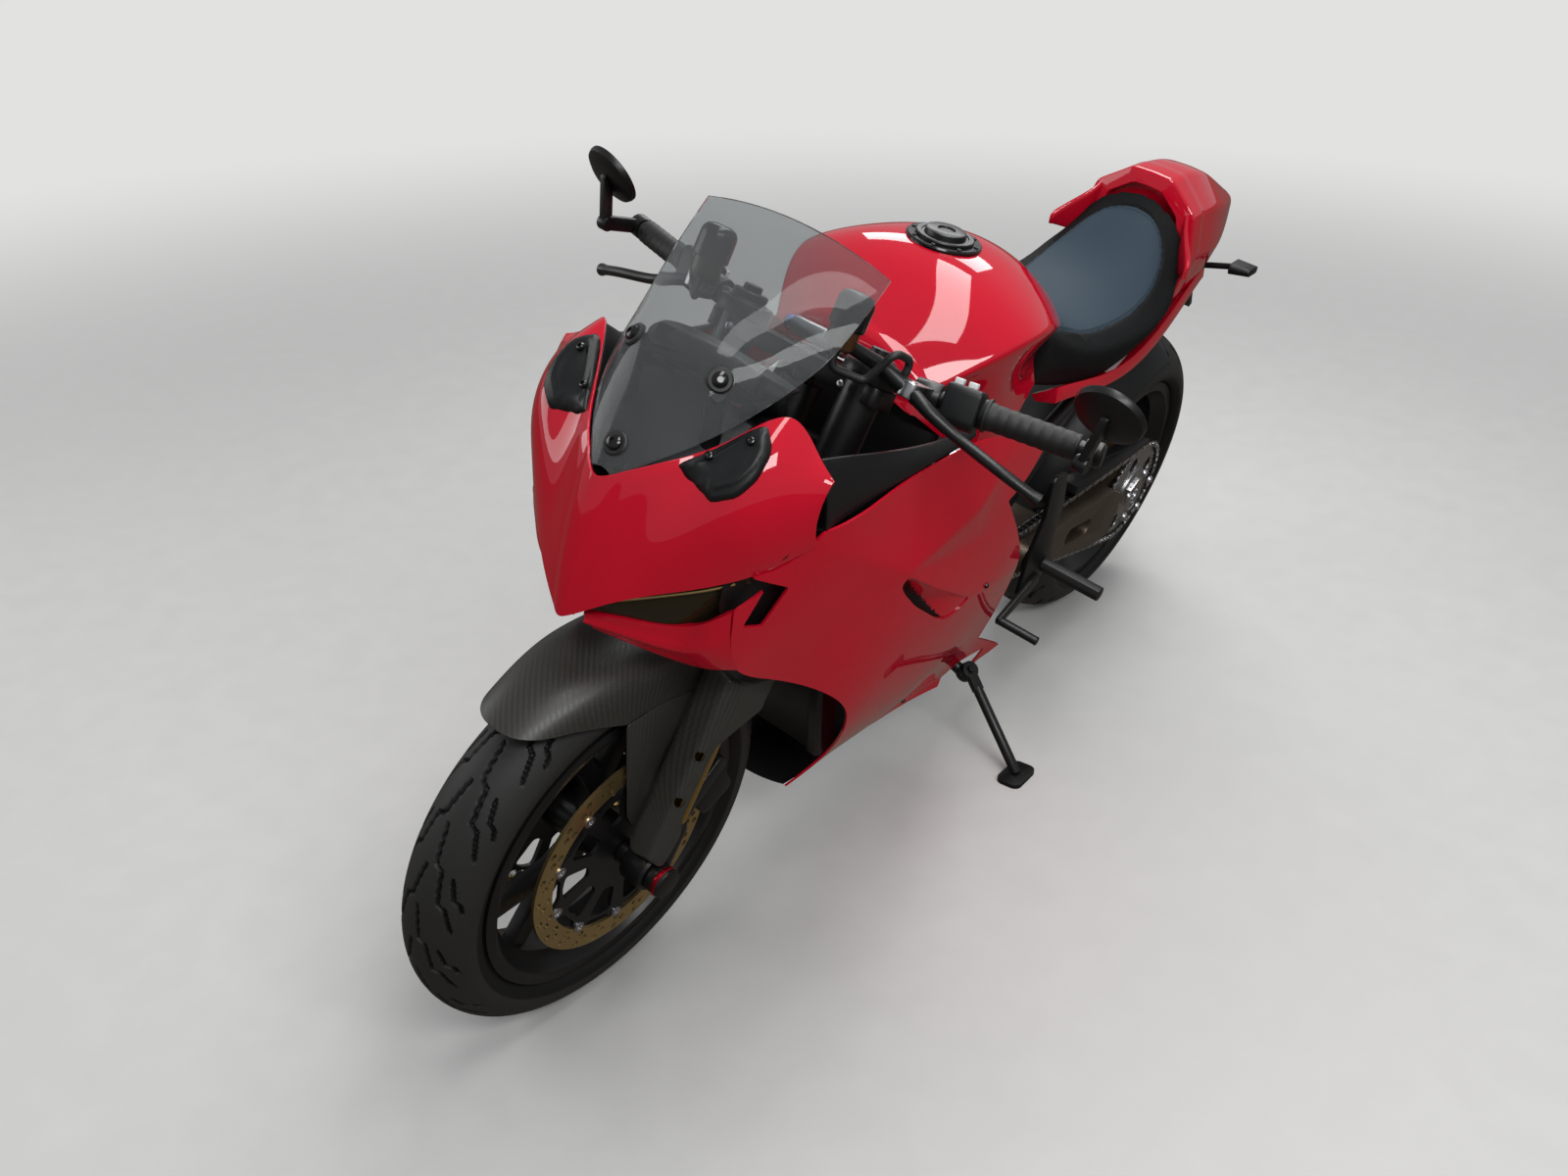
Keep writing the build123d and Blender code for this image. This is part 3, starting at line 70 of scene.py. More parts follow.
# Stance
WHEELBASE = 1478.0
RAKE = radians(24.0)
TRAIL = 91.0
STEER_REST = radians(-3.4)
LEAN = atan2(-JOINTS["rear_wheel_spin"]["axis"][2], JOINTS["rear_wheel_spin"]["axis"][1])
STEER_UP = np.array([-sin(RAKE), 0, cos(RAKE)])
STEER_AHEAD = np.array([cos(RAKE), 0, sin(RAKE)])
STEER_FOOT = np.array([WHEELBASE / 2 + TRAIL, 0, 0])
STEERED = rotation(STEER_UP, STEER_REST)
LEANED = rotation((1, 0, 0), -LEAN)
REAR_HUB = np.array(JOINTS["rear_wheel_spin"]["pos_m"]) * 1000
FRONT_HUB = np.array(JOINTS["front_wheel_spin"]["pos_m"]) * 1000
REAR_AXLE = np.array([-WHEELBASE / 2, 0, REAR_HUB[2] / cos(LEAN)])
MIDDLE = LEANED @ REAR_AXLE - REAR_HUB
FRONT_AXLE = STEER_FOOT + STEERED.T @ (LEANED.T @ (FRONT_HUB + MIDDLE) - STEER_FOOT)
LEFT = np.array([0.0, 1.0, 0.0])

# Camera, measured in the photograph from the floor midway between the axles: place, turn and lens
CAMERA_AT = np.array([1831.6, 1208.4, 1528.9])
CAMERA_YAW = radians(216.76)
CAMERA_PITCH = radians(28.87)
CAMERA_ROLL = radians(0.29)
CAMERA_LENS = 32.71

# Tyres: radius, half width, crown radius, half width of the bead
FRONT_TYRE = (300.0, 58.0, 62.0, 46.0)
REAR_TYRE = (315.0, 89.0, 95.0, 70.0)
BEAD_R = 216.0
DISC_R = 160.0
DISC_Y = 62.8

# Nose: y, then the lower, middle and upper point (x, z) of the section
NOSE = [
    (0, (849, 726), (838, 815), (812, 904)),
    (45, (828, 762), (815, 848), (774, 930)),
    (90, (798, 786), (786, 872), (716, 958)),
    (135, (760, 804), (762, 885), (664, 992)),
    (175, (706, 824), (728, 890), (650, 958)),
    (206, (660, 855), (672, 898), (655, 940)),
]
# Sides: x, then the upper, middle and lower point (y, z) of the section
FLANK = [
    (-240, (158, 890), (178, 540), (130, 165)),
    (-20, (192, 890), (202, 540), (92, 170)),
    (150, (203, 890), (214, 540), (88, 180)),
    (340, (206, 890), (212, 540), (84, 190)),
    (500, (207, 890), (192, 540), (54, 190)),
    (640, (206, 890), (136, 540), (-56, 190)),
    (742, (164, 890), (116, 540), (-70, 190)),
]
# Edges of the side panel in the side view, one smooth run after another
SIDE_RUNS = [
    [(647, 866), (532, 873), (422, 872), (289, 864), (170, 822), (92, 782)],
    [(92, 782), (146, 744), (186, 732)],
    [(186, 732), (112, 650), (28, 545), (-10, 478), (-46, 385), (-84, 288)],
    [(-84, 288), (-225, 194)],
    [(-225, 194), (-170, 160)],
    [(-170, 160), (-168, 214)],
    [(-168, 214), (-88, 214)],
    [(-88, 214), (-82, 148)],
    [(-82, 148), (-22, 155), (160, 182), (400, 218)],
    [(400, 218), (378, 290), (392, 362), (454, 476), (568, 574), (651, 622)],
    [(651, 622), (702, 664), (730, 726)],
    [(730, 726), (738, 772)],
    [(738, 772), (722, 783), (706, 796)],
    [(706, 796), (719, 742)],
    [(719, 742), (690, 733)],
    [(690, 733), (672, 791)],
    [(672, 791), (726, 819)],
    [(726, 819), (690, 829), (647, 866)],
]
# Side view (x, z): dark bed of the slot beside the lamp
SLOT = [(746, 824), (660, 796), (680, 722), (728, 732), (744, 772)]
# Nose pads: pairs of y and share of the nose's height
PAD = [(66, 0.96), (92, 0.985), (114, 0.985), (126, 0.955), (152, 0.78), (156, 0.63), (146, 0.51),
       (122, 0.50), (98, 0.67)]
# Scoop of the side panel (x, z)
SCOOP = [(460, 734), (464, 716), (448, 696), (404, 654), (318, 588), (276, 562), (250, 564), (232, 586),
         (366, 670), (424, 710)]
# Fold lines on the side: points (x, z) with how far the panel stands out there
FOLDS = [
    [(650, 848, 2), (462, 740, 17)],
    [(462, 740, 17), (300, 770, 13), (226, 806, 4)],
    [(462, 740, 17), (366, 674, 14), (232, 590, 11), (60, 540, 5)],
]
# Chin and lamp lenses: y, then three points (x, z) of the section
CHIN = [
    (16, (826, 726), (818, 712), (806, 694)),
    (68, (794, 730), (785, 702), (764, 670)),
    (108, (758, 728), (750, 690), (722, 648)),
    (140, (748, 750), (741, 704), (714, 658)),
    (160, (738, 770), (730, 722), (702, 664)),
]
LENS = [
    (18, (834, 752), (832, 745), (828, 737)),
    (65, (806, 773), (801, 750), (790, 727)),
    (105, (776, 792), (766, 755), (748, 716)),
    (138, (744, 804), (732, 770), (712, 736)),
    (160, (718, 810), (713, 803), (706, 795)),
]
# Screen: x, height of the crown, half width, height of the edge
SCREEN = [
    (505, 1131, 135, 1112),
    (545, 1115, 134, 1074),
    (590, 1095, 128, 1034),
    (640, 1070, 115, 1002),
    (699, 1036, 95, 972),
    (750, 978, 66, 944),
    (806, 912, 16, 907),
]
# Tank, seat and tail: x, crown, widest half width and its height, base half width and height
WIDE_Z, BASE_Z = 3, 5
TANK = [
    (-64, 956, 124, 890, 110, 786),
    (40, 1010, 162, 934, 138, 772),
    (140, 1028, 185, 962, 158, 772),
    (235, 1014, 178, 956, 154, 800),
    (318, 955, 132, 905, 114, 862),
]
SEAT = [
    (-575, 958, 116, 866, 108, 782),
    (-520, 892, 128, 826, 116, 752),
    (-430, 830, 138, 796, 124, 734),
    (-330, 815, 132, 790, 126, 724),
    (-230, 826, 120, 800, 116, 728),
    (-150, 872, 112, 830, 110, 746),
    (-64.4, 946, 118, 880, 108, 774),
]
# Seam around the seat's top panel: x and half width
SEAT_SEAM = [(-66, 94), (-150, 88), (-230, 92), (-330, 102), (-430, 106), (-500, 97), (-538, 76), (-556, 40),
             (-560, 0)]
TAIL = [
    (-976, 884, 34, 858, 30, 838),
    (-850, 934, 76, 838, 66, 788),
    (-700, 982, 104, 848, 92, 776),
    (-576.5, 986, 112, 868, 104, 784),
]


def linear(code):
    """A linear colour from an sRGB hex value."""
    parts = [int(code[k:k + 2], 16) / 255 for k in (1, 3, 5)]
    return tuple(c / 12.92 if c <= 0.04045 else ((c + 0.055) / 1.055) ** 2.4 for c in parts)


class BikePaint(bpy.types.PropertyGroup):
    """Colours of the bike and its floor"""

    panels: bpy.props.FloatVectorProperty(
        name="Panels", description="Lacquer of the bodywork", subtype="COLOR", default=linear("#AE0A22"))
    plastic: bpy.props.FloatVectorProperty(
        name="Plastic", description="Moulded trim", subtype="COLOR", default=linear("#101112"))
    enamel: bpy.props.FloatVectorProperty(
        name="Enamel", description="Coated metal", subtype="COLOR", default=linear("#0E0E0F"))
    floor: bpy.props.FloatVectorProperty(
        name="Floor", description="Studio floor", subtype="COLOR", default=linear("#BEBEBC"))


class BikeSizes(bpy.types.PropertyGroup):
    """Sizes that a user may change"""

    groove: bpy.props.FloatProperty(
        name="Groove depth", description="Depth of the tyre grooves", default=0.0055, unit="LENGTH")
    shell: bpy.props.FloatProperty(
        name="Shell", description="Wall of the painted panels", default=0.0035, unit="LENGTH")
    rim: bpy.props.FloatProperty(
        name="Rim", description="Rounding of panel edges", default=0.0011, unit="LENGTH")
    fill: bpy.props.FloatProperty(
        name="Seat fill", description="How tight the seat foam is, from slack to full", default=0.7,
        subtype="FACTOR")


# Shapes are pairs: an array of points and a list of faces
def place(points, steers=False):
    """Upright millimetres to metres on the parked bike."""
    points = np.asarray(points, float)
    if steers:
        points = STEER_FOOT + (points - STEER_FOOT) @ STEERED.T
    return (points @ LEANED.T - MIDDLE) / 1000


def steer_point(f, y, s):
    """A point of the steering: forward of its axis, sideways and along it."""
    return STEER_FOOT + STEER_UP * s + STEER_AHEAD * f + LEFT * y


def unit(vector):
    """A vector of length 1 along the given one."""
    vector = np.asarray(vector, float)
    return vector / np.linalg.norm(vector)


def square_to(direction):
    """Two unit vectors square to a direction and to each other."""
    direction = unit(direction)
    aside = np.cross(direction, (0, 0, 1) if abs(direction[2]) < 0.9 else (1, 0, 0))
    aside = unit(aside)
    return aside, np.cross(direction, aside)


def reach_along(points):
    """How far along a line each of its points lies."""
    return np.r_[0, np.cumsum(np.linalg.norm(np.diff(points, axis=0), axis=1))]


def arc(start, middle, end, steps):
    """Points along the circle through three points of a plane."""
    a, b, c = (complex(*p) for p in (start, middle, end))
    w = (c - a) / (b - a)
    if abs(w.imag) < 1e-6:
        return np.linspace(start, end, steps)
    centre = a - (a - b) * (w - abs(w) ** 2) / 2j / w.imag
    first = phase(a - centre)
    sweep = (phase(c - centre) - first) % (2 * pi)
    if (phase(b - centre) - first) % (2 * pi) > sweep:
        sweep -= 2 * pi
    line = [centre + abs(a - centre) * turn_by(1j * (first + sweep * k / (steps - 1))) for k in range(steps)]
    return np.array([(p.real, p.imag) for p in line])


def shares(knots, at):
    """How much each station counts at the given places, along a natural cubic spline."""
    knots, at = np.asarray(knots, float), np.asarray(at, float)
    count, gap = len(knots), np.diff(knots)
    left, right = np.eye(count), np.zeros((count, count))
    for k in range(1, count - 1):
        left[k, k - 1:k + 2] = gap[k - 1], 2 * (gap[k - 1] + gap[k]), gap[k]
        right[k, k - 1:k + 2] = 6 / gap[k - 1], -6 / gap[k - 1] - 6 / gap[k], 6 / gap[k]
    bend = np.linalg.solve(left, right)
    k = np.clip(np.searchsorted(knots, at) - 1, 0, count - 2)
    a, b = (knots[k + 1] - at) / gap[k], (at - knots[k]) / gap[k]
    whole, square = np.eye(count), gap[k] ** 2 / 6
    return (a[:, None] * whole[k] + b[:, None] * whole[k + 1]
            + ((a ** 3 - a) * square)[:, None] * bend[k] + ((b ** 3 - b) * square)[:, None] * bend[k + 1])


def lofted(knots, sections, at):
    """Sections in between those of a few stations."""
    return np.tensordot(shares(knots, at), np.asarray(sections, float), axes=1)


def set_out(table, sections, at, axis):
    """Sections of a table's stations, lofted to the given places along X (axis 0) or Y (axis 1)."""
    flat = lofted([row[0] for row in table], sections, at)
    places = np.broadcast_to(np.asarray(at, float)[:, None], flat.shape[:2])
    across, up = flat[..., 0], flat[..., 1]
    return np.stack([places, across, up] if axis == 0 else [across, places, up], -1)


def ease(value):
    """A smooth step from 0 to 1."""
    value = np.clip(value, 0, 1)
    return value * value * (3 - 2 * value)


def smooth_line(points, steps=8):
    """A soft line through points, several steps to each stretch."""
    points = np.asarray(points, float)
    if len(points) < 3:
        return np.linspace(points[0], points[-1], steps + 1)
    reach = reach_along(points)
    return shares(reach, np.linspace(0, reach[-1], steps * (len(points) - 1) + 1)) @ points


def rounded(points, radius, steps=4):
    """A closed outline with its corners rounded off."""
    points = np.asarray(points, float)
    line = []
    for before, corner, after in zip(np.roll(points, 1, 0), points, np.roll(points, -1, 0)):
        to, on = before - corner, after - corner
        cut = min(radius, 0.45 * np.linalg.norm(to), 0.45 * np.linalg.norm(on))
        start, end = corner + unit(to) * cut, corner + unit(on) * cut
        for t in np.linspace(0, 1, steps):
            line.append((1 - t) ** 2 * start + 2 * t * (1 - t) * corner + t * t * end)
    return np.array(line)


def grid(rows, loop=False):
    """Quads over an array of rows of points, closed along each row if it is a loop."""
    rows = np.asarray(rows, float)
    count, width = rows.shape[:2]
    r, c = np.meshgrid(np.arange(count - 1), np.arange(width if loop else width - 1), indexing="ij")
    d = (c + 1) % width
    faces = np.stack([r * width + c, r * width + d, (r + 1) * width + d, (r + 1) * width + c], -1)
    return rows.reshape(-1, 3), faces.reshape(-1, 4).tolist()


def joined(*shapes):
    """Several shapes as one."""
    points, faces, base = [], [], 0
    for shape_points, shape_faces in shapes:
        points.append(np.asarray(shape_points, float))
        faces += [[base + k for k in face] for face in shape_faces]
        base += len(shape_points)
    return np.concatenate(points), faces


def both_sides(shape):
    """A shape and its mirror image across the middle of the bike."""
    points, faces = shape
    return joined(shape, (points * (1, -1, 1), [face[::-1] for face in faces]))


def turned(profile, origin, along, steps=40):
    """A turned shape: its profile holds pairs of distance along the axis and radius."""
    along = unit(along)
    aside, up = square_to(along)
    angles = np.linspace(0, 2 * pi, steps, endpoint=False)
    ring = np.cos(angles)[:, None] * aside + np.sin(angles)[:, None] * up
    return grid([np.asarray(origin) + along * d + ring * r for d, r in profile], loop=True)


def tube(points, radius, sides=14):
    """A round tube along points, whose radius may change from point to point."""
    points = np.asarray(points, float)
    radii = np.broadcast_to(np.asarray(radius, float), len(points))
    ahead = np.gradient(points, axis=0)
    aside, _ = square_to(ahead[0])
    rows = []
    for point, way, r in zip(points, ahead, radii):
        way = unit(way)
        aside = unit(aside - way * (aside @ way))
        up = np.cross(way, aside)
        angles = np.linspace(0, 2 * pi, sides, endpoint=False)
        rows.append(point + r * (np.cos(angles)[:, None] * aside + np.sin(angles)[:, None] * up))
    rows = [np.repeat(points[:1], sides, 0), *rows, np.repeat(points[-1:], sides, 0)]
    return grid(rows, loop=True)


def prism(outline, origin, across, up, depth, soft=0.0):
    """A plate with rounded rims: an outline in two directions, pushed along their normal."""
    across, up = unit(across), unit(up)
    out = np.cross(across, up) * depth
    outline = np.asarray(outline, float)
    flat = np.asarray(origin) + outline[:, :1] * across + outline[:, 1:] * up
    bm = bmesh.new()
    caps = [[bm.verts.new(p) for p in flat], [bm.verts.new(p + out) for p in flat]]
    tops = [bm.faces.new(caps[0]), bm.faces.new(caps[1])]
    for k in range(len(flat)):
        n = (k + 1) % len(flat)
        bm.faces.new((caps[0][k], caps[0][n], caps[1][n], caps[1][k]))
    bmesh.ops.recalc_face_normals(bm, faces=bm.faces)
    if soft:
        rims = list({edge for face in tops for edge in face.edges})
        bmesh.ops.bevel(bm, geom=rims, offset=soft, segments=3, profile=0.5, affect="EDGES",
                        clamp_overlap=True)
    bm.verts.index_update()
    shape = np.array([v.co for v in bm.verts]), [[v.index for v in face.verts] for face in bm.faces]
    bm.free()
    return shape


def inside(points, loop):
    """Which points of a plane lie inside a closed outline."""
    x, z = points[:, 0], points[:, 1]
    found = np.zeros(len(points), bool)
    for (x0, z0), (x1, z1) in zip(loop, np.roll(loop, -1, 0)):
        if z0 != z1:
            found ^= ((z0 > z) != (z1 > z)) & (x < (x1 - x0) * (z - z0) / (z1 - z0) + x0)
    return found


def off_lines(points, line):
    """How far points of a plane lie from a line, and how far along it as a share of each stretch."""
    best, where = np.full(len(points), 1e9), np.zeros(len(points))
    for k, (a, b) in enumerate(zip(line[:-1], line[1:])):
        run = b - a
        t = np.clip(((points - a) @ run) / (run @ run), 0, 1)
        far = np.linalg.norm(points - a - t[:, None] * run, axis=1)
        nearer = far < best
        best, where = np.where(nearer, far, best), np.where(nearer, k + t, where)
    return best, where


def tiled(outline, spacing, holes=()):
    """Triangles that fill an outline, less its holes."""
    loops = [np.asarray(loop, float) for loop in (outline, *holes)]
    points, edges = [], []
    for loop in loops:
        start = len(points)
        points += loop.tolist()
        edges += [(start + k, start + (k + 1) % len(loop)) for k in range(len(loop))]
    if spacing:
        low, high = loops[0].min(0), loops[0].max(0)
        across, up = np.meshgrid(np.arange(low[0], high[0], spacing),
                                 np.arange(low[1], high[1], spacing * 0.87))
        across[1::2] += spacing / 2
        spots = np.stack([across.ravel(), up.ravel()], 1)
        spots = spots[inside(spots, loops[0])]
        for loop in loops:
            spots = spots[off_lines(spots, np.r_[loop, loop[:1]])[0] > 0.6 * spacing]
        points += spots.tolist()
    made = delaunay_2d_cdt([Vector(p) for p in points], edges, [], 0, 1e-5)
    flat, faces = np.array([tuple(v) for v in made[0]]), np.array(made[2])
    centres = flat[faces].mean(1)
    keep = inside(centres, loops[0])
    for loop in loops[1:]:
        keep &= ~inside(centres, loop)
    return flat, faces[keep].tolist()


def plate(outline, holes, thick):
    """A flat plate with holes, lying in its first two axes."""
    flat, faces = tiled(outline, 0, holes)
    count = len(flat)
    points = np.concatenate([np.c_[flat, np.zeros(count)], np.c_[flat, np.full(count, thick)]])
    walls, uses = [], {}
    for face in faces:
        for a, b in zip(face, face[1:] + face[:1]):
            uses[(a, b)] = True
    for a, b in uses:
        if (b, a) not in uses:
            walls.append([a, b, b + count, a + count])
    return points, [face[::-1] for face in faces] + [[k + count for k in face] for face in faces] + walls


def circle(radius, steps, middle=(0, 0), start=0.0):
    """Points around a circle in a plane."""
    angles = np.linspace(0, 2 * pi, steps, endpoint=False) + start
    return np.stack([middle[0] + radius * np.cos(angles), middle[1] + radius * np.sin(angles)], 1)


def moved(shape, origin, x_axis, y_axis):
    """A shape drawn flat, set at a place with its first two axes along given directions."""
    points, faces = shape
    x_axis, y_axis = unit(x_axis), unit(y_axis)
    axes = np.stack([x_axis, y_axis, np.cross(x_axis, y_axis)])
    return np.asarray(origin) + points @ axes, faces


# Materials
def add_node(tree, kind, feeds=None, **settings):
    """Add a node, change its settings and feed its inputs with values or other sockets."""
    node = tree.nodes.new(kind)
    for key, value in settings.items():
        setattr(node, key, value)
    for key, value in (feeds or {}).items():
        if isinstance(value, bpy.types.NodeSocket):
            tree.links.new(value, node.inputs[key])
        else:
            node.inputs[key].default_value = value
    return node


def set_inputs(node, values):
    """Set inputs of a node to constant values."""
    for key, value in values.items():
        node.inputs[key].default_value = value


def per_mm(size):
    """The scale of a pattern whose grain is that many millimetres."""
    return 1000 / size


def surface(tree, shader, colour, rough, grain, relief, drift=0.12, spread=0.25):
    """Colour and roughness that drift a little over the surface, and a relief with grains of a size in mm."""
    where = add_node(tree, "ShaderNodeTexCoord").outputs["Object"]
    patch = add_node(tree, "ShaderNodeTexNoise", {"Vector": where, "Scale": per_mm(70), "Detail": 4.0})
    darker = tuple(c * (1 - drift) for c in colour) + (1,)
    lighter = tuple(min(1, c * (1 + drift)) for c in colour) + (1,)
    tone = add_node(tree, "ShaderNodeMix", {"Factor": patch.outputs["Fac"], "A": darker, "B": lighter},
                    data_type="RGBA")
    tree.links.new(tone.outputs["Result"], shader.inputs["Base Color"])
    fine = add_node(tree, "ShaderNodeTexNoise", {"Vector": where, "Scale": per_mm(grain), "Detail": 3.0})
    gloss = add_node(tree, "ShaderNodeMapRange", {
        "Value": patch.outputs["Fac"], "To Min": rough * (1 - spread),
        "To Max": min(1, rough * (1 + spread))})
    tree.links.new(gloss.outputs["Result"], shader.inputs["Roughness"])
    bump = add_node(tree, "ShaderNodeBump", {"Height": fine.outputs["Fac"], "Distance": relief / 1000,
                                             "Strength": 0.6})
    tree.links.new(bump.outputs["Normal"], shader.inputs["Normal"])
    return where


def lacquer(tree, shader):
    """Acrylic lacquer sprayed on moulded ABS: deep colour under a clear coat with a faint orange peel."""
    surface(tree, shader, tuple(bpy.context.scene.bike_paint.panels), 0.5, 9, 0.02, 0.05, 0.1)
    set_inputs(shader, {"Specular IOR Level": 0.0, "Coat Weight": 1.0, "Coat Roughness": 0.04, "IOR": 1.5})


def plastic(tree, shader):
    """ABS moulded in a spark-eroded tool: a satin black with a fine even grain."""
    surface(tree, shader, tuple(bpy.context.scene.bike_paint.plastic), 0.42, 1.6, 0.05, 0.2)
    set_inputs(shader, {"Specular IOR Level": 0.3})


def gloss_plastic(tree, shader):
    """Polished nylon: black with a clear sheen, as on caps and lids."""
    surface(tree, shader, linear("#0D0D0E"), 0.16, 4, 0.01)


def enamel(tree, shader):
    """Powder coat on metal: satin black, slightly pebbled."""
    surface(tree, shader, tuple(bpy.context.scene.bike_paint.enamel), 0.36, 2.2, 0.03, 0.2)
    set_inputs(shader, {"Specular IOR Level": 0.4})


def cast_alloy(tree, shader):
    """Sand-cast aluminium, painted: a grey with a coarse skin."""
    surface(tree, shader, linear("#3A3B3D"), 0.5, 1.8, 0.08, 0.2)
    set_inputs(shader, {"Metallic": 0.6})


def bronze_alloy(tree, shader):
    """Cast aluminium in a bronze-grey coat: warm, satin and a little metallic."""
    surface(tree, shader, linear("#574B40"), 0.4, 2.0, 0.04, 0.12)
    set_inputs(shader, {"Metallic": 0.75})


def steel(tree, shader):
    """Machined steel: bright, with fine turning marks that blur its reflections."""
    surface(tree, shader, linear("#B4B4B6"), 0.28, 1.2, 0.02, 0.1)
    set_inputs(shader, {"Metallic": 1.0})


def disc_steel(tree, shader):
    """Stainless brake disc, ground and then browned by heat."""
    surface(tree, shader, linear("#CDB27C"), 0.36, 1.0, 0.02, 0.15)
    set_inputs(shader, {"Metallic": 1.0})


def gold_tube(tree, shader):
    """Titanium-nitride coat on a polished fork tube: bright gold."""
    surface(tree, shader, linear("#C9A045"), 0.2, 3, 0.005, 0.06)
    set_inputs(shader, {"Metallic": 1.0})


def red_anodised(tree, shader):
    """Anodised aluminium, turned: a clear metallic red."""
    surface(tree, shader, linear("#B5152A"), 0.26, 1.5, 0.01, 0.06)
    set_inputs(shader, {"Metallic": 0.9})


def blue_anodised(tree, shader):
    """Anodised aluminium, turned: a clear metallic blue."""
    surface(tree, shader, linear("#1E49B8"), 0.26, 1.5, 0.01, 0.06)
    set_inputs(shader, {"Metallic": 0.9})


def twill(tree, shader):
    """Carbon cloth in a 2 by 2 twill under matt resin."""
    tow = 2.4
    uv = add_node(tree, "ShaderNodeUVMap", uv_map="cloth").outputs["UV"]
    parts = add_node(tree, "ShaderNodeSeparateXYZ", {"Vector": uv})
    steps = [add_node(tree, "ShaderNodeMath", {0: parts.outputs[axis], 1: per_mm(tow)}, operation="MULTIPLY")
             for axis in ("X", "Y")]
    whole = [add_node(tree, "ShaderNodeMath", {0: step.outputs[0]}, operation="FLOOR") for step in steps]
    order = add_node(tree, "ShaderNodeMath", {0: whole[0].outputs[0], 1: whole[1].outputs[0]},
                     operation="ADD")
    quarter = add_node(tree, "ShaderNodeMath", {0: order.outputs[0], 1: 0.25}, operation="MULTIPLY")
    part = add_node(tree, "ShaderNodeMath", {0: quarter.outputs[0]}, operation="FRACT")
    over = add_node(tree, "ShaderNodeMath", {0: part.outputs[0], 1: 0.49}, operation="GREATER_THAN")
    tone = add_node(tree, "ShaderNodeMix", {
        "Factor": over.outputs[0], "A": linear("#292825") + (1,), "B": linear("#302F2B") + (1,),
    }, data_type="RGBA")
    tree.links.new(tone.outputs["Result"], shader.inputs["Base Color"])
    gloss = add_node(tree, "ShaderNodeMapRange", {"Value": over.outputs[0], "To Min": 0.36, "To Max": 0.44})
    tree.links.new(gloss.outputs["Result"], shader.inputs["Roughness"])
    set_inputs(shader, {"Specular IOR Level": 0.4})


def tyre_rubber(tree, shader):
    """Vulcanised rubber, scrubbed by the road: dull brownish black, with painted shade that darkens it to
    near black where a groove is cut.
    """
    surface(tree, shader, linear("#201F1E"), 0.62, 1.5, 0.08, 0.15)
    rubber = shader.inputs["Base Color"].links[0].from_socket
    # Painted shade: the groove attribute darkens the rubber inside the grooves, where shade falls
    groove = add_node(tree, "ShaderNodeAttribute", attribute_name="groove").outputs["Fac"]
    tone = add_node(tree, "ShaderNodeMix", {"Factor": groove, "A": rubber, "B": linear("#030303") + (1,)},
                    data_type="RGBA")
    tree.links.new(tone.outputs["Result"], shader.inputs["Base Color"])
    set_inputs(shader, {"Specular IOR Level": 0.4})


def grip_rubber(tree, shader):
    """Soft moulded rubber: deep black without gloss."""
    surface(tree, shader, linear("#121212"), 0.58, 1.2, 0.06)


def seat_cover(tree, shader):
    """Coated cloth: a smooth blue-grey top panel, which the piece masks, between grained black sides."""
    where = surface(tree, shader, linear("#24292E"), 0.5, 2.4, 0.12, 0.1)
    mask = add_node(tree, "ShaderNodeAttribute", attribute_name="top_panel").outputs["Fac"]
    grain = add_node(tree, "ShaderNodeTexVoronoi", {"Vector": where, "Scale": per_mm(2.6)})
    shade = add_node(tree, "ShaderNodeMix", {
        "Factor": mask, "A": linear("#101112") + (1,), "B": linear("#2C3943") + (1,)}, data_type="RGBA")
    tree.links.new(shade.outputs["Result"], shader.inputs["Base Color"])
    gloss = add_node(tree, "ShaderNodeMapRange", {"Value": mask, "To Min": 0.7, "To Max": 0.62})
    tree.links.new(gloss.outputs["Result"], shader.inputs["Roughness"])
    height = add_node(tree, "ShaderNodeMapRange", {"Value": mask, "To Min": 1.0, "To Max": 0.25})
    relief = add_node(tree, "ShaderNodeMath", {0: grain.outputs["Distance"], 1: height.outputs["Result"]},
                      operation="MULTIPLY")
    bump = add_node(tree, "ShaderNodeBump", {"Height": relief.outputs[0], "Distance": 0.0005,
                                             "Strength": 0.5})
    tree.links.new(bump.outputs["Normal"], shader.inputs["Normal"])
    set_inputs(shader, {"Specular IOR Level": 0.12})


def acrylic(tree, shader):
    """Blown acrylic sheet, lightly smoked: clear with sharp reflections and bright cut edges."""
    set_inputs(shader, {"Base Color": linear("#B4B8B9") + (1,), "Transmission Weight": 0.93,
                        "Roughness": 0.01, "IOR": 1.2})


def lamp_glass(tree, shader):
    """Hard-coated polycarbonate, tinted olive brown, over the lamps."""
    set_inputs(shader, {"Base Color": linear("#2E281A") + (1,), "Transmission Weight": 0.4, "Roughness": 0.03,
                        "IOR": 1.3})


def red_lens(tree, shader):
    """Polished red acrylic of the tail lamp."""
    surface(tree, shader, linear("#8E0A12"), 0.1, 3, 0.01)


def amber_nylon(tree, shader):
    """Amber nylon of the fluid cups: you can see into it a little."""
    surface(tree, shader, linear("#4A2E12"), 0.25, 3, 0.01)
    set_inputs(shader, {"Transmission Weight": 0.3})


def white_button(tree, shader):
    """Light grey ABS of the switch buttons."""
    surface(tree, shader, linear("#C9CACA"), 0.4, 1.2, 0.02, 0.04)


def mirror_glass(tree, shader):
    """Silvered mirror glass."""
    surface(tree, shader, linear("#D5D8DA"), 0.03, 9, 0.0)
    set_inputs(shader, {"Metallic": 1.0})


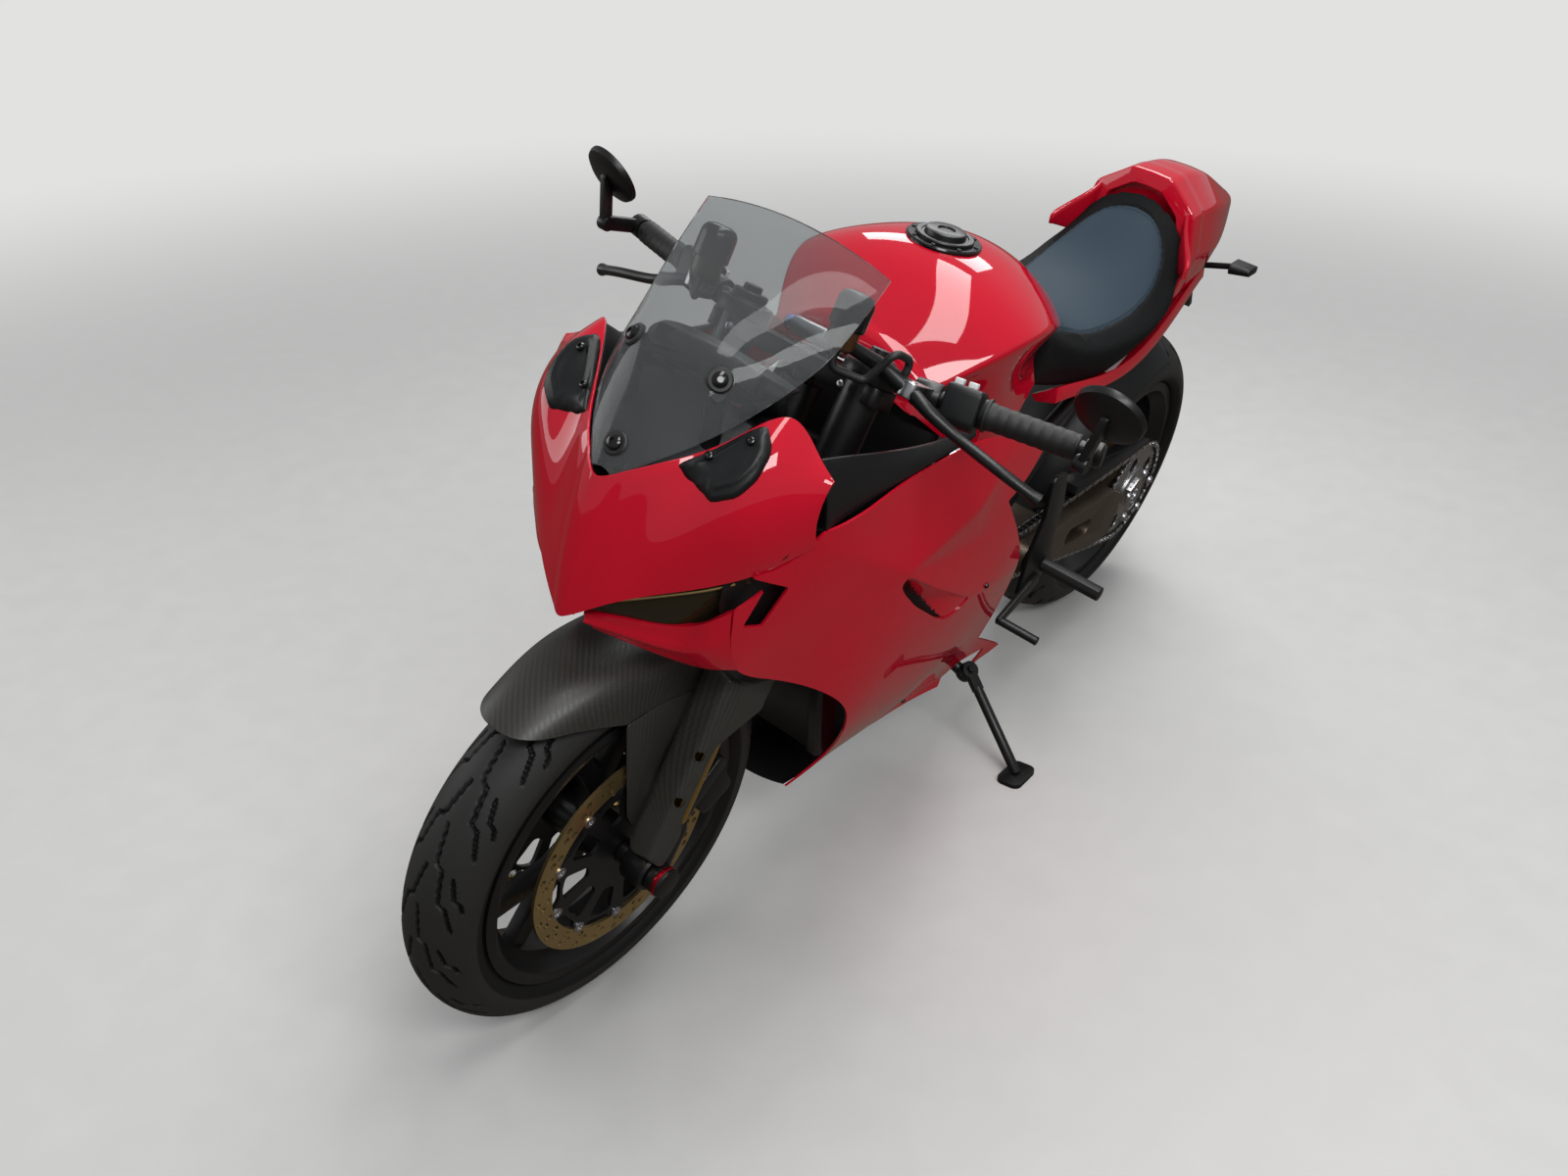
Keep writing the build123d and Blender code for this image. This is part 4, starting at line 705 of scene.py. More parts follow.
# Finishes: recipe and slot of the record
FINISHES = {
    "lacquer": (lacquer, "red_gloss"),
    "tank_lacquer": (lacquer, "red_tank"),
    "abs_plastic": (plastic, "black_satin"),
    "polished_nylon": (gloss_plastic, "black_satin"),
    "powder_coat": (enamel, "black_metal"),
    "cast_aluminium": (cast_alloy, "grey_cast"),
    "coated_aluminium": (bronze_alloy, "bronze_cast"),
    "machined_steel": (steel, "steel"),
    "browned_steel": (disc_steel, "bronze_disc"),
    "titanium_nitride": (gold_tube, "gold_tube"),
    "carbon_twill": (twill, "fibre_twill"),
    "red_anodising": (red_anodised, "steel"),
    "blue_anodising": (blue_anodised, "steel"),
    "tyre_rubber": (tyre_rubber, "tyre"),
    "grip_rubber": (grip_rubber, "rubber"),
    "coated_cloth": (seat_cover, "seat_cover"),
    "acrylic": (acrylic, "screen"),
    "tinted_polycarbonate": (lamp_glass, "lamp_glass"),
    "red_acrylic": (red_lens, "red_lens"),
    "amber_nylon": (amber_nylon, "black_satin"),
    "grey_abs": (white_button, "black_satin"),
    "silvered_glass": (mirror_glass, "steel"),
}


def finish(name):
    """The material of a finish, made when it is first asked for."""
    material = bpy.data.materials.get(name)
    if material is None:
        material = bpy.data.materials.new(name)
        material.use_nodes = True
        FINISHES[name][0](material.node_tree, material.node_tree.nodes["Principled BSDF"])
    return material


# Pieces
def hand_over(name, mesh, look, body, replaces=()):
    """Make an object of a finished mesh that rides on a body and stands for the solids it replaces."""
    piece = bpy.data.objects.new(name, mesh)
    bpy.context.scene.collection.objects.link(piece)
    mesh.materials.clear()
    mesh.materials.append(finish(look))
    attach(piece, body)
    if replaces:
        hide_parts(*replaces)
    return piece


def mesh_of(name, shape, steers=False, sharp=35.0, core=None):
    """A clean mesh of a shape; an open sheet faces away from its core."""
    points, faces = shape
    mesh = bpy.data.meshes.new(name)
    mesh.from_pydata(place(points, steers).tolist(), [], faces)
    bm = bmesh.new()
    bm.from_mesh(mesh)
    bmesh.ops.remove_doubles(bm, verts=bm.verts, dist=2e-5)
    bmesh.ops.dissolve_degenerate(bm, edges=bm.edges, dist=1e-5)
    bmesh.ops.recalc_face_normals(bm, faces=bm.faces)
    if core is not None:
        heart = Vector(place([core], steers)[0])
        if sum((face.calc_center_median() - heart).dot(face.normal) * face.calc_area()
               for face in bm.faces) < 0:
            bmesh.ops.reverse_faces(bm, faces=bm.faces)
    bm.to_mesh(mesh)
    bm.free()
    mesh.shade_smooth()
    mesh.set_sharp_from_angle(angle=radians(sharp))
    return mesh


def add_piece(name, shape, look, body, replaces=(), steers=False, sharp=35.0, core=None, thick=0.0, rim=0.0):
    """A piece from a shape, with a wall thickness for a sheet and rounded rims."""
    piece = hand_over(name, mesh_of(name, shape, steers, sharp, core), look, body, replaces)
    if thick:
        wall = piece.modifiers.new("wall", "SOLIDIFY")
        wall.thickness = thick
        wall.offset = -1
        wall.use_even_offset = True
    if rim:
        edge = piece.modifiers.new("rim", "BEVEL")
        edge.width = rim
        edge.segments = 2
        edge.limit_method = "ANGLE"
        edge.angle_limit = radians(50)
        edge.harden_normals = True
    return piece


def steered_pair(name, shape, look, replaces=()):
    """A piece of the steering that is there on both sides of the bike."""
    return add_piece(name, both_sides(shape), look, "steering", replaces, True)


def repeat_tree():
    """A node tree that sets a shape on every point of a mesh, facing and pointing as the point says."""
    tree = bpy.data.node_groups.get("repeat_on_points")
    if tree:
        return tree
    tree = bpy.data.node_groups.new("repeat_on_points", "GeometryNodeTree")
    tree.interface.new_socket("Points", in_out="INPUT", socket_type="NodeSocketGeometry")
    tree.interface.new_socket("Shape", in_out="INPUT", socket_type="NodeSocketObject")
    tree.interface.new_socket("Finish", in_out="INPUT", socket_type="NodeSocketMaterial")
    tree.interface.new_socket("Size", in_out="INPUT", socket_type="NodeSocketFloat").default_value = 1.0
    tree.interface.new_socket("Result", in_out="OUTPUT", socket_type="NodeSocketGeometry")
    given = add_node(tree, "NodeGroupInput")
    result = add_node(tree, "NodeGroupOutput")
    facing = add_node(tree, "GeometryNodeInputNamedAttribute", {"Name": "facing"}, data_type="FLOAT_VECTOR")
    pointing = add_node(tree, "GeometryNodeInputNamedAttribute", {"Name": "pointing"},
                        data_type="FLOAT_VECTOR")
    stand = add_node(tree, "FunctionNodeAlignRotationToVector", {"Vector": facing.outputs["Attribute"]},
                     axis="Z")
    swing = add_node(tree, "FunctionNodeAlignRotationToVector", {
        "Rotation": stand.outputs["Rotation"], "Vector": pointing.outputs["Attribute"],
    }, axis="X", pivot_axis="Z")
    shape = add_node(tree, "GeometryNodeObjectInfo", {"Object": given.outputs["Shape"]})
    copies = add_node(tree, "GeometryNodeInstanceOnPoints", {
        "Points": given.outputs["Points"], "Instance": shape.outputs["Geometry"],
        "Rotation": swing.outputs["Rotation"], "Scale": given.outputs["Size"]})
    solid = add_node(tree, "GeometryNodeRealizeInstances", {"Geometry": copies.outputs["Instances"]})
    painted = add_node(tree, "GeometryNodeSetMaterial", {
        "Geometry": solid.outputs["Geometry"], "Material": given.outputs["Finish"]})
    tree.links.new(painted.outputs["Geometry"], result.inputs["Result"])
    return tree


def repeated(name, shape, spots, look, body, steers=False, size=1.0, replaces=(), sharp=40.0):
    """One piece of many like shapes: each spot is a point, the way it faces and the way it points."""
    points, facings, pointings = (np.array(column, float) for column in zip(*spots))
    turn = LEANED @ STEERED if steers else LEANED
    holder = bpy.data.objects.new(name + "_spots", bpy.data.meshes.new(name + "_spots"))
    holder.data.from_pydata(place(points, steers).tolist(), [], [])
    for key, values in (("facing", facings), ("pointing", pointings)):
        column = holder.data.attributes.new(key, "FLOAT_VECTOR", "POINT")
        column.data.foreach_set("vector", (values @ turn.T).astype(np.float32).ravel())
    pattern_mesh = bpy.data.meshes.new(name + "_pattern")
    pattern_mesh.from_pydata((shape[0] / 1000).tolist(), [], shape[1])
    pattern = bpy.data.objects.new(name + "_pattern", pattern_mesh)
    for helper in (holder, pattern):
        bpy.context.scene.collection.objects.link(helper)
    modifier = holder.modifiers.new("repeat", "NODES")
    modifier.node_group = repeat_tree()
    values = {"Shape": pattern, "Finish": finish(look), "Size": size}
    for socket in modifier.node_group.interface.items_tree:
        if socket.name in values:
            modifier[socket.identifier] = values[socket.name]
    graph = bpy.context.evaluated_depsgraph_get()
    mesh = bpy.data.meshes.new_from_object(holder.evaluated_get(graph), depsgraph=graph)
    mesh.name = name
    holder.modifiers.clear()
    for helper in (holder, pattern):
        bpy.data.objects.remove(helper)
    bm = bmesh.new()
    bm.from_mesh(mesh)
    bmesh.ops.recalc_face_normals(bm, faces=bm.faces)
    bm.to_mesh(mesh)
    bm.free()
    mesh.shade_smooth()
    mesh.set_sharp_from_angle(angle=radians(sharp))
    return hand_over(name, mesh, look, body, replaces)


def bolt_head(radius):
    """A round bolt head with a socket, facing up."""
    r = radius
    return turned([(0, 0), (0, r), (0.35 * r, r), (0.75 * r, 0.72 * r), (0.8 * r, 0.5 * r),
                   (0.3 * r, 0.46 * r), (0.3 * r, 0)], (0, 0, 0), (0, 0, 1), 12)


def flat_bar(start, end, width, thick, facing):
    """A flat bar with rounded ends from one point to another."""
    start, end = np.asarray(start, float), np.asarray(end, float)
    along = end - start
    length = np.linalg.norm(along)
    along = along / length
    aside = unit(np.cross(facing, along))
    out = np.cross(along, aside)
    r = width / 2
    outline = rounded([(-r, -r), (length + r, -r), (length + r, r), (-r, r)], r * 0.9, 5)
    return prism(outline, start - out * thick / 2, along, aside, thick, min(1.5, thick / 4))


class BIKE_OT_stage(bpy.types.Operator):
    """Lay the pale floor, hang the soft lights and set the camera"""

    bl_idname = "bike.stage"
    bl_label = "Studio"

    def execute(self, context):
        scene = context.scene
        scene.view_settings.view_transform = "Standard"
        reach = 30.0
        corners = [(-reach, -reach, 0), (reach, -reach, 0), (reach, reach, 0), (-reach, reach, 0)]
        mesh = bpy.data.meshes.new("floor")
        mesh.from_pydata(corners, [], [(0, 1, 2, 3)])
        floor = bpy.data.objects.new("floor", mesh)
        scene.collection.objects.link(floor)
        material = bpy.data.materials.new("floor_screed")
        material.use_nodes = True
        shader = material.node_tree.nodes["Principled BSDF"]
        tree = material.node_tree
        where = surface(tree, shader, tuple(scene.bike_paint.floor), 0.7, 6, 0.05, 0.05)
        # Far from the bike the screed fades into an evenly lit pale ground
        far = add_node(tree, "ShaderNodeVectorMath", {0: where}, operation="LENGTH")
        fade = add_node(tree, "ShaderNodeMapRange",
                        {"Value": far.outputs["Value"], "From Min": 1.6, "From Max": 6.0},
                        interpolation_type="SMOOTHSTEP")
        path = add_node(tree, "ShaderNodeLightPath")
        seen = add_node(tree, "ShaderNodeMath", {
            0: path.outputs["Is Camera Ray"], 1: path.outputs["Is Transmission Ray"]}, operation="MAXIMUM")
        share = add_node(tree, "ShaderNodeMath", {0: seen.outputs[0], 1: fade.outputs["Result"]},
                         operation="MULTIPLY")
        pale = add_node(tree, "ShaderNodeEmission", {"Color": linear("#E2E2E1") + (1,), "Strength": 1.0})
        ground = add_node(tree, "ShaderNodeMixShader",
                          {0: share.outputs[0], 1: shader.outputs[0], 2: pale.outputs[0]})
        # Reflections in the paint see a dimmer, warmer ground, so that its colour stays deep
        dim = add_node(tree, "ShaderNodeEmission", {"Color": linear("#8C857C") + (1,), "Strength": 0.45})
        mirrored = add_node(tree, "ShaderNodeMath", {
            0: path.outputs["Is Glossy Ray"], 1: path.outputs["Is Transmission Ray"],
        }, operation="SUBTRACT", use_clamp=True)
        ground = add_node(tree, "ShaderNodeMixShader",
                          {0: mirrored.outputs[0], 1: ground.outputs[0], 2: dim.outputs[0]})
        tree.links.new(ground.outputs[0], tree.nodes["Material Output"].inputs["Surface"])
        mesh.materials.append(material)
        world = bpy.data.worlds.new("studio")
        world.use_nodes = True
        scene.world = world
        light = world.node_tree.nodes["Background"]
        set_inputs(light, {"Color": linear("#EDEFF2") + (1,), "Strength": 0.42})
        sky = world.node_tree
        behind = add_node(sky, "ShaderNodeBackground", {"Color": linear("#E2E2E1") + (1,), "Strength": 1.0})
        ray = add_node(sky, "ShaderNodeLightPath")
        both = add_node(sky, "ShaderNodeMixShader",
                        {0: ray.outputs["Is Camera Ray"], 1: light.outputs[0], 2: behind.outputs[0]})
        sky.links.new(both.outputs[0], sky.nodes["World Output"].inputs["Surface"])
        # name, place in metres, size, watts
        for name, spot, size, watts in (
            ("key", (1.7, 2.3, 2.9), (2.2, 0.7), 62), ("top", (-0.2, 0.5, 3.2), (3.4, 0.7), 62),
            ("back", (-2.2, -1.0, 2.6), (2.0, 0.8), 34), ("fill", (1.6, -2.6, 1.8), (2.0, 1.4), 22),
        ):
            lamp = bpy.data.lights.new(name, "AREA")
            lamp.shape = "RECTANGLE"
            lamp.size, lamp.size_y = size
            lamp.energy = watts
            holder = bpy.data.objects.new(name, lamp)
            scene.collection.objects.link(holder)
            way = Vector((0, 0, 0.5)) - Vector(spot)
            holder.matrix_world = Matrix.Translation(spot) @ way.to_track_quat("-Z", "Y").to_matrix().to_4x4()
        eye = bpy.data.objects.new("camera", bpy.data.cameras.new("camera"))
        eye.data.lens = CAMERA_LENS
        eye.data.sensor_width = 36
        scene.collection.objects.link(eye)
        ahead = np.array([cos(CAMERA_PITCH) * cos(CAMERA_YAW), cos(CAMERA_PITCH) * sin(CAMERA_YAW),
                          -sin(CAMERA_PITCH)])
        right = unit(np.cross(ahead, (0, 0, 1)))
        up = np.cross(right, ahead)
        level_right = cos(CAMERA_ROLL) * right + sin(CAMERA_ROLL) * up
        level_up = cos(CAMERA_ROLL) * up - sin(CAMERA_ROLL) * right
        pose = np.eye(4)
        pose[:3, :3] = np.stack([level_right, level_up, -ahead], 1)
        pose[:3, 3] = (CAMERA_AT - MIDDLE) / 1000
        eye.matrix_world = Matrix(pose.tolist())
        scene.camera = eye
        return {"FINISHED"}


SOLID_FINISHES = {
    "powder_coat": (
        "frame", "radiator", "rear_shock", "fuel_cap", "footrests", "foot_controls", "stand_bracket",
        "upper_clamp", "lower_clamp", "fork_outers", "front_axle", "calipers", "handlebars",
        "lever_controls", "mirrors", "front_rim", "rear_rim", "side_stand",
    ),
    "cast_aluminium": ("engine", "rear_hub"),
    "machined_steel": ("exhaust", "chain", "steering_damper", "rear_sprocket"),
    "coated_aluminium": ("swingarm",),
    "abs_plastic": (
        "belly_pan", "headlight_unit", "cockpit_panels", "dashboard", "mirror_covers", "plate_holder",
        "rear_indicators", "rear_hugger", "switchgear", "front_fender",
    ),
    "lacquer": (
        "tail_panels", "tail_cowl", "nose_fairing", "left_fairing", "right_fairing", "chin_fairing",
    ),
    "red_acrylic": ("tail_light",),
    "titanium_nitride": ("fork_inners",),
    "grip_rubber": ("grips", "hoses", "rider_seat"),
    "polished_nylon": ("reservoirs",),
    "browned_steel": ("front_discs", "rear_disc"),
    "tyre_rubber": ("front_tyre", "rear_tyre"),
    "tank_lacquer": ("fuel_tank",),
    "tinted_polycarbonate": ("headlight_lenses",),
    "acrylic": ("windscreen",),
}


def soften_tree():
    """A node tree that shades a solid's mesh smooth except at sharp edges."""
    tree = bpy.data.node_groups.get("soften")
    if tree:
        return tree
    tree = bpy.data.node_groups.new("soften", "GeometryNodeTree")
    tree.interface.new_socket("Mesh", in_out="INPUT", socket_type="NodeSocketGeometry")
    tree.interface.new_socket("Mesh", in_out="OUTPUT", socket_type="NodeSocketGeometry")
    given = add_node(tree, "NodeGroupInput")
    result = add_node(tree, "NodeGroupOutput")
    angle = add_node(tree, "GeometryNodeInputMeshEdgeAngle")
    sharp = add_node(tree, "FunctionNodeCompare", {0: angle.outputs["Unsigned Angle"], 1: radians(34)},
                     operation="GREATER_THAN")
    faces = add_node(tree, "GeometryNodeSetShadeSmooth",
                     {"Geometry": given.outputs["Mesh"], "Shade Smooth": True}, domain="FACE")
    edges = add_node(tree, "GeometryNodeSetShadeSmooth", {
        "Geometry": faces.outputs["Geometry"], "Selection": sharp.outputs["Result"], "Shade Smooth": False,
    }, domain="EDGE")
    tree.links.new(edges.outputs["Geometry"], result.inputs["Mesh"])
    return tree


class BIKE_OT_solids(bpy.types.Operator):
    """Give every solid its finish, closed seams and softly broken edges"""

    bl_idname = "bike.solids"
    bl_label = "Solids"

    def execute(self, context):
        looks = {name: look for look, names in SOLID_FINISHES.items() for name in names}
        for name, solid in frame["nodes"].items():
            solid.data.materials.clear()
            solid.data.materials.append(finish(looks[name]))
            solid.modifiers.new("seams", "WELD").merge_threshold = 2e-5
            flat = solid.modifiers.new("flats", "DECIMATE")
            flat.decimate_type = "DISSOLVE"
            flat.angle_limit = radians(0.3)
            edge = solid.modifiers.new("edges", "BEVEL")
            edge.width = 0.0009
            edge.segments = 2
            edge.limit_method = "ANGLE"
            edge.angle_limit = radians(40)
            edge.harden_normals = False
            solid.modifiers.new("soften", "NODES").node_group = soften_tree()
        return {"FINISHED"}


# Tread: points across it, patterns around the tyre, and a groove's half width, soft tip and wall
TREAD_STEPS = 66
PITCHES = 16
GROOVE_HALF, GROOVE_TIP, GROOVE_WALL = 2.0, 1.0, 1.5
# Lines of one pattern, as places along the tyre's turn and across from its middle
GROOVES = [
    [(0, 2), (52, 11), (57, 21), (104, 29), (109, 39), (146, 52)],
    [(62, 38), (92, 47), (97, 56), (112, 62)],
]


class BIKE_OT_tyres(bpy.types.Operator):
    """Shape both tyres with their grooves"""

    bl_idname = "bike.tyres"
    bl_label = "Tyres"

    def rows(self, sizes, around, heading):
        """Rings of points of a tyre, with the grooves pressed in."""
        radius, half, crown, bead_y = sizes
        shoulder = radius - crown + sqrt(crown ** 2 - half ** 2)
        bead = BEAD_R + 12.3
        wall = arc((bead, bead_y), ((shoulder + bead) / 2, half - 1), (shoulder, half), 12)
        tread = arc((shoulder, half), (radius, 0), (shoulder, -half), TREAD_STEPS)
        lip = np.array([(BEAD_R + 1, bead_y - 6), (BEAD_R + 2, bead_y - 1)])
        profile = np.concatenate([lip, wall[:-1], tread, (wall * (1, -1))[::-1][1:], (lip * (1, -1))[::-1]])
        reach = reach_along(profile)
        across = reach - reach[-1] / 2
        slope = np.gradient(profile, axis=0)
        out = np.stack([slope[:, 1], -slope[:, 0]], 1)
        out /= np.linalg.norm(out, axis=1)[:, None]
        out *= np.sign((out[:, :1] * (profile[:, :1] - radius + crown)).sum() + 1e-9)
        angles = np.linspace(0, 2 * pi, around, endpoint=False)
        along, over = np.meshgrid(angles * radius, across, indexing="ij")
        pitch = 2 * pi * radius / PITCHES
        widen = half / FRONT_TYRE[1]
        depth = np.zeros(along.shape)
        for way in (1, -1):
            turn = (heading * along + (0 if way > 0 else pitch / 2)) % pitch
            spot = np.stack([turn.ravel(), (over * way / widen).ravel()], 1)
            for groove in GROOVES:
                line = np.array(groove, float)
                for wrap in (-pitch, 0, pitch):
                    far, where = off_lines(spot, line + (wrap, 0))
                    taper = np.clip(np.minimum(where, len(line) - 1 - where) * 3 + 0.45, 0, 1)
                    cut = ease((GROOVE_HALF * taper + GROOVE_TIP - far) / GROOVE_WALL).reshape(along.shape)
                    depth = np.maximum(depth, np.where(over * way > 0, cut, 0))
        depth *= bpy.context.scene.bike_sizes.groove * 1000
        ring = profile[None] - out[None] * depth[..., None]
        cosine, sine = np.cos(angles)[:, None], np.sin(angles)[:, None]
        return np.stack([ring[..., 0] * cosine, ring[..., 1], ring[..., 0] * sine], -1)

    def execute(self, context):
        for name, sizes, axle, body, steers, around in (
            ("front_tyre_tread", FRONT_TYRE, FRONT_AXLE, "front_wheel", True, 960),
            ("rear_tyre_tread", REAR_TYRE, REAR_AXLE, "rear_wheel", False, 800),
        ):
            rows = self.rows(sizes, around, -1 if steers else 1) + axle
            points, faces = grid(np.concatenate([rows, rows[:1]]))
            tyre = add_piece(name, (points, faces), "tyre_rubber", body, [body.replace("wheel", "tyre")],
                             steers, 40.0)
            self.mark(tyre.data, sizes, axle, steers)
        return {"FINISHED"}

    def mark(self, mesh, sizes, axle, steers):
        """Note on every point how deep it lies in a groove, for the painted shade that the rubber shows
        there.
        """
        radius, half, crown, _ = sizes
        points = (np.array([v.co for v in mesh.vertices]) * 1000 + MIDDLE) @ LEANED
        if steers:
            points = STEER_FOOT + (points - STEER_FOOT) @ STEERED
        x, y, z = (points - axle).T
        full = radius - crown + np.sqrt(np.maximum(crown ** 2 - y ** 2, 0))
        deep = np.where(np.abs(y) < half - 1, full - np.hypot(x, z), 0)
        # The rubber's painted groove shade reads this depth
        layer = mesh.attributes.new("groove", "FLOAT", "POINT")
        layer.data.foreach_set("value", ease(deep / 3).astype(np.float32))


# Brake discs: width and wall of the band, its holes, and the arms of the carrier
BAND, BAND_THICK, CARRIER_THICK = 32.0, 5.0, 6.0
HOLES, HOLE_R = 24, 4.7
ARMS, BOBBIN_AT = 10, 123.5


class BIKE_OT_brake_discs(bpy.types.Operator):
    """Drilled floating discs on black carriers with bright bobbins"""

    bl_idname = "bike.brake_discs"
    bl_label = "Brake discs"

    def execute(self, context):
        holes = []
        for k in range(HOLES):
            for r, shift in ((DISC_R - 8, 0.0), (DISC_R - 16, 0.12), (DISC_R - 24, 0.02)):
                angle = 2 * pi * (k + shift * 3) / HOLES
                holes.append(circle(HOLE_R, 10, (r * cos(angle), r * sin(angle))))
        band = plate(circle(DISC_R, 120), [circle(DISC_R - BAND, 96), *holes], BAND_THICK)
        outer, windows = [], []
        for k in range(ARMS):
            for a, r in ((-9, 116), (-5, 127), (5, 127), (9, 116)):
                angle = radians(360 / ARMS * k + a)
                outer.append((r * cos(angle), r * sin(angle)))
            middle = radians(360 / ARMS * (k + 0.5))
            window = [(108, -0.20), (110, 0.0), (108, 0.20), (66, 0.17), (62, 0.0), (66, -0.17)]
            windows.append(rounded([(r * cos(middle + a), r * sin(middle + a)) for r, a in window], 7))
        spider = plate(rounded(outer, 5), [circle(17.5, 32), *windows], CARRIER_THICK)
        bands, spiders, studs = [], [], []
        for way in (1, -1):
            at = FRONT_AXLE + LEFT * way * (DISC_Y - BAND_THICK / 2)
            axes = [(0, 0, 1), (1, 0, 0)][::way]
            bands.append(moved(band, at, *axes))
            spiders.append(moved(spider, at - LEFT * way * 1.5, *axes))
            for k in range(ARMS):
                angle = radians(360 / ARMS * k)
                spot = at + BOBBIN_AT * np.array([sin(angle), 0, cos(angle)])
                profile = [(-2, 0), (-2, 8), (-1.5, 8.6), (6.5, 8.6), (7, 8), (7, 4.5), (5, 4), (5, 0)]
                studs.append(turned(profile, spot, LEFT * way, 18))
        add_piece("disc_bands", joined(*bands), "browned_steel", "front_wheel", ["front_discs"], True)
        add_piece("disc_carriers", joined(*spiders), "powder_coat", "front_wheel", steers=True)
        add_piece("disc_bobbins", joined(*studs), "machined_steel", "front_wheel", steers=True)
        return {"FINISHED"}


def nose_sheet(ys, rows=46):
    """Rows of the nose, outwards from its lower edge to the screen."""
    arcs = [arc(*points, rows) for _, *points in NOSE]
    # The bow rounds the nose over its middle, where both halves would meet in a crease
    half, bow = NOSE[-1][0], 11.0
    outward = (np.hypot(ys, bow) - bow) * half / (np.hypot(half, bow) - bow)
    sheet = set_out(NOSE, arcs, outward, 1)
    sheet[..., 1] = np.asarray(ys)[:, None]
    v = np.linspace(0, 1, rows)[None]
    far = np.abs(ys)[:, None]
    blade = 8 + 20 * v
    sheet[..., 0] += 2.6 * ease((blade + 7 - far) / 14)
    sheet[..., 0] -= 7 * np.exp(-((far - 62) / 30) ** 2) * np.sin(pi * np.clip(v * 1.1, 0, 1))
    sheet[..., 0] += 6 * np.exp(-((far - 142) / 32) ** 2) * np.sin(pi * v) ** 1.5
    return sheet


class BIKE_OT_nose(bpy.types.Operator):
    """Shape the nose with its middle blade and full shoulders, and the chin below the lamps"""

    bl_idname = "bike.nose"
    bl_label = "Nose and chin"

    def execute(self, context):
        sizes = context.scene.bike_sizes
        half = NOSE[-1][0]
        nose = grid(nose_sheet(np.linspace(-half, half, 151)))
        add_piece("nose_panel", nose, "lacquer", "chassis", ["nose_fairing"], core=(600, 0, 800), sharp=60,
                  thick=sizes.shell, rim=sizes.rim)
        self.pads(half)
        arcs = [arc(*points, 24) for _, *points in CHIN]
        ys = np.linspace(CHIN[0][0], CHIN[-1][0], 48)
        chin = set_out(CHIN, arcs, ys, 1)
        ridge, fade = np.exp(-((np.linspace(0, 1, 24) - 0.42) / 0.16) ** 2), ease((CHIN[-1][0] - ys) / 50)
        chin[..., 0] += 7 * ridge[None] * fade[:, None]
        for way, name in ((1, "chin_left"), (-1, "chin_right")):
            add_piece(name, grid(chin * (1, way, 1)), "lacquer", "chassis", ["chin_fairing"],
                      core=(640, 0, 700), sharp=60, thick=sizes.shell * 2, rim=sizes.rim)
        return {"FINISHED"}

    def pads(self, half):
        """Black pads on the shoulders, each with a raised rim and two bolts."""
        ys = np.linspace(0, half, 120)
        sheet = nose_sheet(ys)
        tall = 180.0
        outline = rounded(np.array(PAD) * (1, tall), 9, 5)
        flat, faces = tiled(outline, 3.0)
        rim, _ = off_lines(flat, np.r_[outline, outline[:1]])
        middle = outline.mean(0)
        inner = middle + (outline - middle) * 0.66
        ridge, _ = off_lines(flat, np.r_[inner, inner[:1]])
        lift = 6.5 * ease(rim / 4.5) - 1.5 + 2.4 * ease((4.2 - ridge) / 3)
        rows = np.interp(flat[:, 0], ys, np.arange(len(ys)))
        cols = flat[:, 1] / tall * (sheet.shape[1] - 1)
        r, c = rows.astype(int).clip(0, len(ys) - 2), cols.astype(int).clip(0, sheet.shape[1] - 2)
        a, b = (rows - r)[:, None], (cols - c)[:, None]
        on = ((1 - a) * (1 - b) * sheet[r, c] + a * (1 - b) * sheet[r + 1, c]
              + (1 - a) * b * sheet[r, c + 1] + a * b * sheet[r + 1, c + 1])
        out = unit((0.66, 0.30, 0.69))
        pad = on + lift[:, None] * out
        for way, name in ((1, "left_pad"), (-1, "right_pad")):
            replaces = ["mirror_covers"] if way > 0 else ()
            add_piece(name, (pad * (1, way, 1), faces), "abs_plastic", "chassis", replaces,
                      core=(600, 0, 800), sharp=50, thick=0.004)
        spots = []
        for y, share in ((92, 0.93), (126, 0.86)):
            k, m = int(y / half * (len(ys) - 1)), int(share * (sheet.shape[1] - 1))
            for way in (1, -1):
                mirror = np.array([1, way, 1])
                spots.append(((sheet[k, m] + out * 6.5) * mirror, out * mirror, (0, 1, 0)))
        repeated("pad_bolts", bolt_head(5.5), spots, "polished_nylon", "chassis")


def flank_depth(spots):
    """How far the side panel stands out at points (x, z) of the side view."""
    x, z = spots[:, 0], spots[:, 1]
    sides = []
    for _, top, middle, low in FLANK:
        line = arc(low, middle, top, 60)
        sides.append(np.interp(z, line[:, 1], line[:, 0]))
    y = (shares([row[0] for row in FLANK], x) * np.array(sides).T).sum(1)
    bulge = np.zeros(len(spots))
    for fold in FOLDS:
        line = np.array(fold, float)
        far, where = off_lines(spots, line[:, :2])
        height = np.interp(where, range(len(line)), line[:, 2])
        bulge = np.maximum(bulge, height * np.clip(1 - far / 130, 0, 1) ** 2)
    return y + bulge


